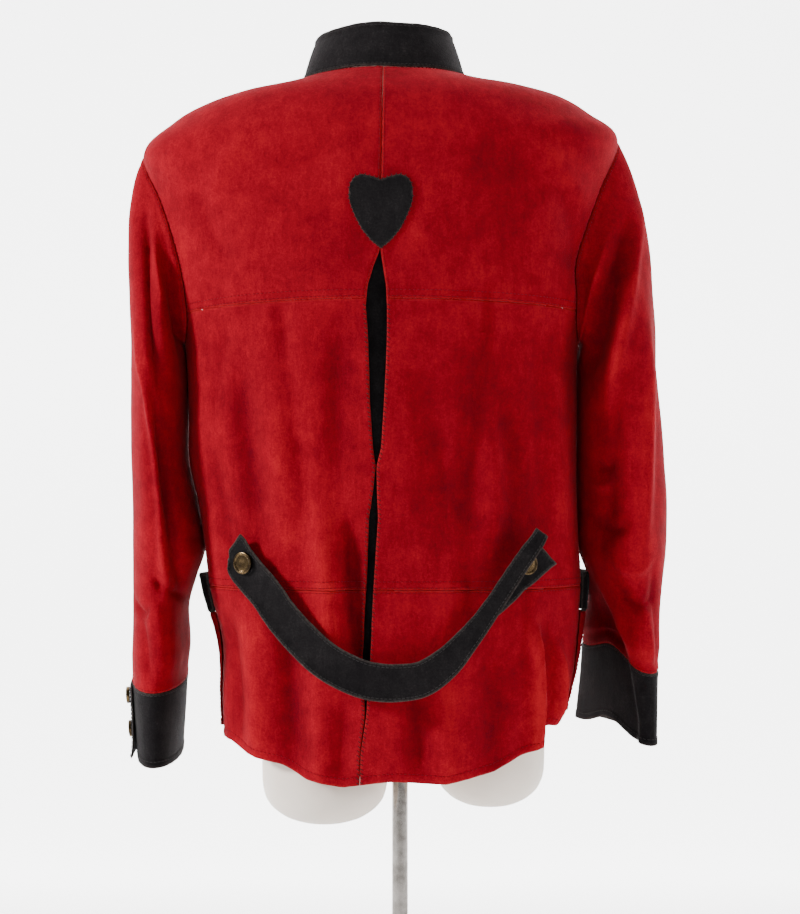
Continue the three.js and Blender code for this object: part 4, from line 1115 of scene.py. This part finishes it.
red_thread = stitches("red_thread", red_lines)
black_thread = stitches("black_thread", black_lines)
whip_thread = stitches("whip_thread", whip_lines, thread=0.8, length=3.6, pitch=4.4, slant=62)
print("stitch faces", [len(obj.data.polygons) for obj in (red_thread, black_thread, whip_thread)])

# %% [markdown]
# ## Buttons
# A cast button is a disc with a raised rim and a sunk face. It starts as a cylinder: the
# face is inset twice, pushed in, and the sharp edges are bevelled. The same button is then
# placed wherever the jacket has one.

# %% One cast button
BUTTON_THICK, BUTTON_LIFT = 3.0, 1.6


def cylinder(name, sides, radius, high, middle=(0, 0, 0)):
    deselect()
    bpy.ops.mesh.primitive_cylinder_add(vertices=sides, radius=radius, depth=high, location=middle)
    obj = bpy.context.active_object
    obj.name = name
    bpy.ops.object.transform_apply(location=True, rotation=True, scale=True)
    return obj


def edit_top(obj):
    """Opens a mesh for editing with only its upward faces selected."""
    bpy.ops.object.mode_set(mode='EDIT')
    bpy.ops.mesh.select_mode(type='FACE')
    bpy.ops.mesh.select_all(action='DESELECT')
    work = bmesh.from_edit_mesh(obj.data)
    for face in work.faces:
        face.select = face.normal.z > 0.9
    bmesh.update_edit_mesh(obj.data)


def round_edges(obj, width, limit):
    """Leaves edit mode and bevels the edges that are sharper than the limit, in degrees."""
    bpy.ops.object.mode_set(mode='OBJECT')
    bevel = obj.modifiers.new("edges", 'BEVEL')
    bevel.width, bevel.segments = width, 3
    bevel.limit_method, bevel.angle_limit = 'ANGLE', math.radians(limit)
    apply_modifiers(obj)
    bpy.ops.object.shade_smooth_by_angle(angle=math.radians(40))


def cast_button(name, radius):
    obj = cylinder(name, 48, radius, BUTTON_THICK)
    edit_top(obj)
    for part, depth in ((0.16, 0.35), (0.10, -0.9), (0.34, 0.55), (0.12, -0.25)):
        bpy.ops.mesh.inset(thickness=radius * part, depth=depth)
    round_edges(obj, 0.28, 25)
    return obj


large, small = cast_button("large_button", 10.5), cast_button("small_button", 8.5)
print("button faces", len(large.data.polygons), len(small.data.polygons))

# %% [markdown]
# A button is placed by a point of the cloth and the way the cloth faces there. The copy gets
# its own mesh with the place in it. The two first ones are removed at the end.

# %% Placed buttons
def place_button(master, name, point, outward):
    """A copy of the button, its back on the point and its face outwards."""
    turn = Vector(outward).to_track_quat('Z', 'Y').to_matrix().to_4x4()
    middle = Vector(point) + Vector(outward) * BUTTON_LIFT
    move = Matrix.Scale(MM, 4) @ Matrix.Translation(middle) @ turn
    mesh = master.data.copy()
    mesh.transform(move)
    obj = bpy.data.objects.new(name, mesh)
    bpy.context.scene.collection.objects.link(obj)
    return obj


buttons = {}
middle, along, width, face, wide = belt_frame(np.array([1.0]))
spot = middle[0] + face[0] * 2.2 + width[0] * 5.0 + along[0] * 2.0
buttons["belt_button_left"] = place_button(large, "belt_button_left_cast", spot, face[0])
across, up = np.array([122.5]), np.array([598.0])
level = level_at(across, up)
outward = body_normal(turn_across(across, level), level)[0]
spot = back_point(across, up, 4.0)[0]
buttons["belt_button_right"] = place_button(large, "belt_button_right_cast", spot, outward)
for side in ("left", "right"):
    step = np.array([-0.2 if side == "left" else 4.2])
    for label, part in (("upper", 0.24), ("lower", 0.62)):
        place = np.array([CUFF_PLACE + part])
        outward, spot = sleeve_normal(side, step, place)[0], sleeve(side, step, place, 4.4)[0][0]
        name = f"cuff_button_{side}_{label}"
        buttons[name] = place_button(small, f"{name}_cast", spot, outward)
for index, level in enumerate((1.4, 3.8, 6.2, 8.6, 11.0)):
    turn, level = np.array([180.0]), np.array([level])
    name = f"front_button_{index + 1}"
    buttons[name] = place_button(large, f"{name}_cast", body(turn, level, 4.1)[0],
                                 body_normal(turn, level)[0])
for master in (large, small):
    bpy.data.objects.remove(master, do_unlink=True)
print("buttons", len(buttons))

# %% [markdown]
# ## Dress form and stand
# The form is a smooth moulded body. Its solid has flat facets, so a copy is remeshed and
# relaxed until the facets melt away. The pole is a tube with a rounded top and the base a
# spun disc with a collar for the pole.

# %% Form
FORM_NAME, VOXEL = "form_smooth", 0.0055
bpy.context.view_layer.update()
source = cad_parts["dress_form"]
form = source.copy()
form.data = source.data.copy()
form.data.transform(source.matrix_world)
bpy.context.scene.collection.objects.link(form)
form.parent = None
form.matrix_world = Matrix.Identity(4)
form.name = FORM_NAME
for key in list(form.keys()):
    del form[key]
form.hide_render = form.hide_viewport = False
only(form)
work = bmesh.new()
work.from_mesh(form.data)
bmesh.ops.remove_doubles(work, verts=work.verts, dist=1e-6)
work.to_mesh(form.data)
work.free()
remesh = form.modifiers.new("even", 'REMESH')
remesh.mode, remesh.voxel_size, remesh.use_smooth_shade = 'VOXEL', VOXEL, True
relax = form.modifiers.new("relax", 'SMOOTH')
relax.factor, relax.iterations = 0.6, 14
apply_modifiers(form)
bpy.ops.object.shade_smooth()
print("form", len(form.data.polygons))

# %% [markdown]
# The pole is one cylinder with rounded ends. The base starts as a flat one: its top is inset
# with a slight rise, inset again, and the small face in the middle is pulled up as a collar.

# %% Pole and base
POLE_RADIUS, POLE_LONG, POLE_MIDDLE = 0.008, 0.604, 0.338
BASE_RADIUS, BASE_HIGH, COLLAR_RISE = 0.15, 0.010, 0.022
pole = cylinder("pole_tube", 48, POLE_RADIUS, POLE_LONG, (0, 0, POLE_MIDDLE))
round_edges(pole, 0.0015, 50)
base_plate = cylinder("base_disc", 96, BASE_RADIUS, BASE_HIGH, (0, 0, BASE_HIGH / 2))
edit_top(base_plate)
bpy.ops.mesh.inset(thickness=0.128, depth=0.0035)
bpy.ops.mesh.inset(thickness=0.004, depth=0.0)
bpy.ops.mesh.extrude_region_move(TRANSFORM_OT_translate={"value": (0, 0, COLLAR_RISE)})
round_edges(base_plate, 0.0012, 30)
print("pole", len(pole.data.polygons), "base", len(base_plate.data.polygons))

# %% [markdown]
# ## Materials
# Suede is a brushed nap. It has no gloss, but loose fibres catch light at a grazing angle,
# which is what sheen gives. Its colour shifts where the nap was stroked another way, so one
# group makes patches, streaks and a fine grain. The points carry how proud they are and how
# near an edge: ridges get painted light and hollows painted shade, and edges turn lighter,
# partly as rubbed wear and partly as a painted sheen highlight.

# %% Short ways to add nodes
def set_inputs(tree, node, values):
    """Gives a node its inputs: a socket is linked, anything else is set as the value."""
    for label, value in values.items():
        if isinstance(value, bpy.types.NodeSocket):
            tree.links.new(value, node.inputs[label])
        else:
            node.inputs[label].default_value = value
    return node


def add_node(tree, kind, values):
    return set_inputs(tree, tree.nodes.new('ShaderNode' + kind), values)


def own_place(tree):
    """Object coordinates, so a pattern stays with its piece."""
    return add_node(tree, 'TexCoord', {}).outputs['Object']


def noise(tree, vector, scale, detail=4.0, rough=0.55):
    values = {'Vector': vector, 'Scale': scale, 'Detail': detail, 'Roughness': rough}
    return add_node(tree, 'TexNoise', values).outputs['Fac']


def calculate(tree, operation, a, b):
    node = add_node(tree, 'Math', {0: a, 1: b})
    node.operation = operation
    return node.outputs[0]


def weighted_sum(tree, parts):
    """The sum of sockets, each times its weight."""
    terms = [calculate(tree, 'MULTIPLY', source, weight) for source, weight in parts]
    total = terms[0]
    for term in terms[1:]:
        total = calculate(tree, 'ADD', total, term)
    return total


def ranged(tree, value, low, high, to_low, to_high):
    values = {'Value': value, 'From Min': low, 'From Max': high, 'To Min': to_low, 'To Max': to_high}
    return add_node(tree, 'MapRange', values).outputs['Result']


def color_ramp(tree, value, stops):
    node = add_node(tree, 'ValToRGB', {'Fac': value})
    elements = node.color_ramp.elements
    while len(elements) < len(stops):
        elements.new(0.5)
    for element, (place, color) in zip(elements, stops):
        element.position, element.color = place, (*color, 1)
    return node.outputs['Color']


def bumped(tree, height, strength, distance):
    values = {'Height': height, 'Strength': strength, 'Distance': distance}
    return add_node(tree, 'Bump', values).outputs['Normal']


def new_group(name, inputs, outputs):
    """A node group of number sockets: its tree, what comes in, and the node that it ends in."""
    group = bpy.data.node_groups.new(name, 'ShaderNodeTree')
    for label in inputs:
        group.interface.new_socket(name=label, in_out='INPUT', socket_type='NodeSocketFloat')
    for label in outputs:
        group.interface.new_socket(name=label, in_out='OUTPUT', socket_type='NodeSocketFloat')
    return group, group.nodes.new('NodeGroupInput').outputs, group.nodes.new('NodeGroupOutput')


def place_group(tree, group, values):
    node = tree.nodes.new('ShaderNodeGroup')
    node.node_tree = group
    return set_inputs(tree, node, values).outputs


def new_material(name, color, roughness, metallic=0.0):
    material = bpy.data.materials.new(name)
    material.use_nodes = True
    tree = material.node_tree
    values = {'Base Color': (*color, 1), 'Roughness': roughness, 'Metallic': metallic}
    return material, tree, set_inputs(tree, tree.nodes['Principled BSDF'], values)


print("materials of the plain solids", len(bpy.data.materials))

# %% [markdown]
# The nap group mixes five sizes of noise. Broad patches are where a hand stroked the nap,
# streaks run down with gravity, and the finest grain is single fibres. It also adds painted
# light on the ridges of the folds and painted shade in their hollows. Its input says how
# strongly the lighter edges show, partly rubbed wear and partly painted sheen, which black
# suede does more than red.

# %% Suede nap group
SUEDE, given, out = new_group("suede nap", ["Wear"], ["Tone and fold shade", "Height", "Edge wear and sheen"])
coords = own_place(SUEDE)
down = {'Vector': coords, 'Scale': (1.0, 1.0, 0.22), 'Rotation': (0.0, 0.25, 0.0)}
stretched = add_node(SUEDE, 'Mapping', down).outputs['Vector']
broad, patch = noise(SUEDE, coords, 14, 3), noise(SUEDE, coords, 60, 5, 0.62)
streak = noise(SUEDE, stretched, 230, 5, 0.65)
speck, grain = noise(SUEDE, coords, 520, 4, 0.7), noise(SUEDE, coords, 1700, 3, 0.7)
proud, rim = (add_node(SUEDE, 'Attribute', {}) for _ in range(2))
proud.attribute_name, rim.attribute_name = "proud", "rim"
# Painted light and shade of the folds: proud ridges make the tone lighter, hollows and seam dips
# darker.
height = ranged(SUEDE, proud.outputs['Fac'], -10.0, 10.0, -0.20, 0.20)
tone = weighted_sum(SUEDE, [(broad, 0.34), (patch, 0.46), (streak, 0.28), (speck, 0.58), (grain, 0.44)])
tone = calculate(SUEDE, 'ADD', calculate(SUEDE, 'SUBTRACT', tone, 0.55), height)
# Near a cut edge the colour turns lighter: partly rubbed wear, partly a painted sheen highlight.
edge = ranged(SUEDE, rim.outputs['Fac'], 0.3, 2.6, 1.0, 0.0)
edge_wear_and_sheen = calculate(SUEDE, 'MULTIPLY', edge, ranged(SUEDE, speck, 0.35, 0.62, 0.1, 1.0))
edge_wear_and_sheen = calculate(SUEDE, 'MULTIPLY', edge_wear_and_sheen, given['Wear'])
fibre = weighted_sum(SUEDE, [(grain, 0.6), (speck, 0.9), (streak, 0.7)])
set_inputs(SUEDE, out, {'Tone and fold shade': tone, 'Height': fibre, 'Edge wear and sheen': edge_wear_and_sheen})
print("nap group", len(SUEDE.nodes), "nodes")

# %% [markdown]
# One function makes both suedes. The ramp turns tone into colour, with the painted light and
# shade of the folds in it. The lighter edge colour, partly rubbed wear and partly painted
# sheen, is mixed in at the edges, and a little sheen stands for the loose fibres.

# %% Suede materials
def suede_material(name, stops, wear_and_sheen_color, wear, sheen, sheen_tint, bump):
    material, tree, shader = new_material(name, stops[1][1], 0.92)
    nap = place_group(tree, SUEDE, {'Wear': wear})
    mix = tree.nodes.new('ShaderNodeMix')
    mix.data_type = 'RGBA'
    set_inputs(tree, mix, {'Factor': nap['Edge wear and sheen'], 'A': color_ramp(tree, nap['Tone and fold shade'], stops),
                           'B': (*wear_and_sheen_color, 1)})
    set_inputs(tree, shader, {
        'Base Color': mix.outputs['Result'], 'Specular IOR Level': 0.06, 'Sheen Weight': sheen,
        'Sheen Roughness': 0.45, 'Sheen Tint': (*sheen_tint, 1),
        'Normal': bumped(tree, nap['Height'], bump, 0.0006)})
    return material


# The third and fourth values are the lighter edge colour and how strongly it shows: partly rubbed wear,
# partly painted sheen.
RED = suede_material("red suede", [(0.20, (0.110, 0.0010, 0.005)), (0.42, (0.196, 0.0016, 0.008)),
                                   (0.58, (0.268, 0.0025, 0.011)), (0.82, (0.400, 0.009, 0.015))],
                     (0.46, 0.024, 0.020), 0.35, 0.035, (1.0, 0.25, 0.20), 0.7)
BLACK = suede_material("black suede", [(0.2, (0.003, 0.0026, 0.003)), (0.45, (0.007, 0.006, 0.0066)),
                                       (0.62, (0.012, 0.0105, 0.011)), (0.85, (0.034, 0.028, 0.028))],
                       (0.11, 0.085, 0.075), 0.5, 0.06, (0.9, 0.85, 0.85), 0.6)
print("suedes", RED.name, "and", BLACK.name)

# %% [markdown]
# Thread is twisted from thin yarns, so its colour changes along it in tiny steps. Three
# threads use the same twist group, each with its own colour.

# %% Threads
TWIST, given, out = new_group("thread twist", ["Fineness"], ["Twist"])
set_inputs(TWIST, out, {'Twist': noise(TWIST, own_place(TWIST), given['Fineness'], 2, 0.6)})


def thread_material(name, color):
    material, tree, shader = new_material(name, color, 0.6)
    twist = place_group(tree, TWIST, {'Fineness': 2600})['Twist']
    shade = color_ramp(tree, twist, [(0.35, tuple(c * 0.55 for c in color)), (0.65, color)])
    set_inputs(tree, shader, {'Base Color': shade, 'Specular IOR Level': 0.08})
    return material


RED_THREAD = thread_material("red thread", (0.19, 0.003, 0.008))
BLACK_THREAD = thread_material("grey thread", (0.040, 0.036, 0.035))
DARK_THREAD = thread_material("dark thread", (0.016, 0.012, 0.012))
print("threads", RED_THREAD.name, BLACK_THREAD.name, DARK_THREAD.name)

# %% [markdown]
# Handled metal is dark where grime stays and bright and smooth where fingers rub it. The
# brass of the buttons and the steel of the stand share that wear at different sizes.

# %% Metals
METAL_WEAR, given, out = new_group("metal wear", ["Scale"], ["Wear", "Height"])
coords = own_place(METAL_WEAR)
finer = calculate(METAL_WEAR, 'MULTIPLY', given['Scale'], 4.0)
set_inputs(METAL_WEAR, out, {'Wear': noise(METAL_WEAR, coords, given['Scale'], 5, 0.65),
                             'Height': noise(METAL_WEAR, coords, finer, 3)})


def worn_metal(name, dark, light, rough_low, rough_high, scale):
    material, tree, shader = new_material(name, light, rough_low, 1.0)
    wear = place_group(tree, METAL_WEAR, {'Scale': scale})
    set_inputs(tree, shader, {
        'Base Color': color_ramp(tree, wear['Wear'], [(0.38, dark), (0.62, light)]),
        'Roughness': ranged(tree, wear['Wear'], 0.3, 0.7, rough_high, rough_low),
        'Normal': bumped(tree, wear['Height'], 0.15, 0.0002)})
    return material


BRASS = worn_metal("antique brass", (0.035, 0.023, 0.013), (0.135, 0.088, 0.042), 0.20, 0.36, 150)
CHROME = worn_metal("chrome", (0.17, 0.155, 0.14), (0.30, 0.28, 0.26), 0.16, 0.28, 60)
print("metals", BRASS.name, "and", CHROME.name)

# %% [markdown]
# The form is a moulded, matt skin. Faint clouds in its colour and a slight pebble in its
# surface keep it from looking like bare plastic.

# %% Form skin
CREAM, tree, shader = new_material("form skin", (0.80, 0.68, 0.56), 0.6)
coords = own_place(tree)
set_inputs(tree, shader, {
    'Base Color': color_ramp(tree, noise(tree, coords, 9, 4),
                             [(0.35, (0.86, 0.74, 0.63)), (0.65, (0.92, 0.81, 0.71))]),
    'Roughness': ranged(tree, noise(tree, coords, 45, 4), 0.3, 0.7, 0.5, 0.7),
    'Normal': bumped(tree, noise(tree, coords, 700, 3), 0.1, 0.0004)})
print("materials", len(bpy.data.materials))

# %% [markdown]
# ## Handing the pieces over
# Each piece takes the place of its plain solid. Each sheet also prints its area beside how
# large it was cut, flat, before it was sewn and hung, and the table gives what holds it.
# Those sizes come from the pattern: a half back is about 190 mm wide, a sleeve 400 mm round
# its head.

# %% Cloth pieces
# Width, length, area where the piece isn't a rectangle, how it is held and, for a piece that
# rests on another one of its side, that piece. The others rest on the form.
CUTS = {
    "back_yoke": (0.275, 0.270, 0.061, "hung", None), "back_panel": (0.220, 0.315, 0.063, "hung", None),
    "back_skirt": (0.215, 0.205, 0.039, "hung", None), "front": (0.300, 0.690, 0.165, "hung", None),
    "sleeve": (0.400, 0.600, 0.160, "hung", "front"), "cuff": (0.288, 0.076, None, "hung", "sleeve"),
    "cuff_lap": (0.050, 0.073, None, "laid", "cuff"), "pocket": (0.142, 0.124, None, "laid", "front"),
    "pocket_band": (0.148, 0.042, None, "laid", "front"),
}
DARK_PIECES = ("cuff", "cuff_lap", "pocket_band")


def hand_over_sheet(piece, node, dark, flat, area):
    """Hands a sheet over and prints its real area beside the area it was cut to."""
    hand_over(piece, BLACK if dark else RED, "black_suede" if dark else "red_suede", node)
    real = sum(face.area for face in piece.data.polygons) / 2
    print("   area", round(real, 4), "flat", round(area or flat[0] * flat[1], 4))


for pieces in (back_pieces, front_pieces, sleeve_pieces, cuff_pieces, pocket_pieces):
    for node, piece in pieces.items():
        kind, side = node.rsplit("_", 1)
        width, length, area, held, under = CUTS[kind]
        rests = f"{under}_{side}_suede" if under else FORM_NAME
        hand_over_sheet(piece, node, kind in DARK_PIECES, (width, length), area)

# %% [markdown]
# The single pieces are all black. The threads stand for no solid, because the frame has
# none for them, so they only ride along. Buttons, form and stand replace their solids.

# %% Small cloth pieces, thread, buttons and stand
single = [
    (underlay, "pleat_underlay", (0.050, 0.518), None, "hung", "back_panel_left_suede"),
    (heart, "heart_patch", (0.062, 0.072), 0.0026, "laid", "back_yoke_left_suede"),
    (collar, "stand_collar", (0.470, 0.048), 0.0205, "hung", "back_yoke_left_suede"),
    (belt, "half_belt", (0.036, 0.420), 0.0125, "hung", "back_skirt_left_suede"),
    (flap, "belt_end_flap", (0.032, 0.088), 0.0017, "laid", "back_skirt_right_suede"),
]
for piece, node, flat, area, held, rests in single:
    hand_over_sheet(piece, node, True, flat, area)
hand_over(red_thread, RED_THREAD, "red_suede")
hand_over(black_thread, BLACK_THREAD, "black_suede")
hand_over(whip_thread, DARK_THREAD, "black_suede")
for node, piece in buttons.items():
    hand_over(piece, BRASS, "button_brass", node)
hand_over(form, CREAM, "form_cream", "dress_form")
hand_over(pole, CHROME, "stand_chrome", "stand_pole")
hand_over(base_plate, CHROME, "stand_chrome", "stand_base")

# %% [markdown]
# ## Studio
# The jacket stands on a pale sweep: a floor that curves up into a backdrop, so no horizon
# line shows. It is made from a section in side view, drawn out sideways.

# %% Sweep
BEND_FROM, BEND = 1.4, 0.9
section = [(-3.0, 0.0), (BEND_FROM, 0.0)]
section += [(BEND_FROM + BEND * math.sin(a), BEND - BEND * math.cos(a))
            for a in np.linspace(0.08, math.pi / 2, 20)]
section += [(BEND_FROM + BEND, 3.6)]
points = [(x, y, z) for y, z in section for x in (-4.0, 4.0)]
faces = [(2 * k, 2 * k + 1, 2 * k + 3, 2 * k + 2) for k in range(len(section) - 1)]
sweep = make_mesh("sweep", np.array(points) / MM, faces)
paper, tree, shader = new_material("paper sweep", (0.93, 0.93, 0.93), 0.95)
coords = own_place(tree)
depth = add_node(tree, 'SeparateXYZ', {0: coords}).outputs['Y']
# The far part of the sweep glows, as a backdrop with a light of its own does.
set_inputs(tree, shader, {
    'Base Color': color_ramp(tree, noise(tree, coords, 3, 3),
                             [(0.3, (0.915, 0.915, 0.915)), (0.7, (0.94, 0.94, 0.94))]),
    'Emission Color': (1, 1, 1, 1), 'Emission Strength': ranged(tree, depth, 0.5, 1.3, 0.0, 3.4)})
sweep.data.materials.append(paper)
print("sweep", len(sweep.data.polygons), "faces")

# %% [markdown]
# A broad light close to the jacket would flatten it. The key light is small and comes from
# the side, so it rakes over the folds, and the others only lift the shadows.

# %% Lights
def soft_light(name, place, aim, size, power):
    data = bpy.data.lights.new(name, 'AREA')
    data.shape, data.size, data.energy = 'SQUARE', size, power
    light = bpy.data.objects.new(name, data)
    bpy.context.scene.collection.objects.link(light)
    light.location = place
    light.rotation_euler = (Vector(aim) - Vector(place)).to_track_quat('-Z', 'Y').to_euler()
    return light


lights = [
    soft_light("key", (-2.6, -0.95, 1.8), (0, 0, 0.75), 0.45, 122),
    soft_light("front", (0.8, -3.4, 2.0), (0, 0, 0.7), 1.0, 20),
    soft_light("fill", (2.6, -0.9, 1.2), (0, 0, 0.7), 0.8, 30),
    soft_light("sweep light", (0, 0.6, 3.2), (0, 1.9, 0.6), 2.4, 75),
    soft_light("rim", (1.7, 1.0, 1.9), (0, 0, 0.8), 0.9, 22),
]
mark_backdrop(sweep, *lights)
WORLD_GLOW = 0.20
world = bpy.data.worlds.new("studio")
bpy.context.scene.world = world
world.use_nodes = True
set_inputs(world.node_tree, world.node_tree.nodes['Background'],
           {'Color': (1, 1, 1, 1), 'Strength': WORLD_GLOW})
print("studio", [light.name for light in lights])

# %% [markdown]
# ## Size
# Both boxes are printed, the frame's and the finished scene's. The finished pieces must
# stay the size of the frame.

# %% Print the sizes
SCENE_BOX = [list(corner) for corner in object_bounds()]
for label, corners in (("frame", FRAME_BOX), ("scene", SCENE_BOX)):
    print(label, [[round(v, 4) for v in corner] for corner in corners])
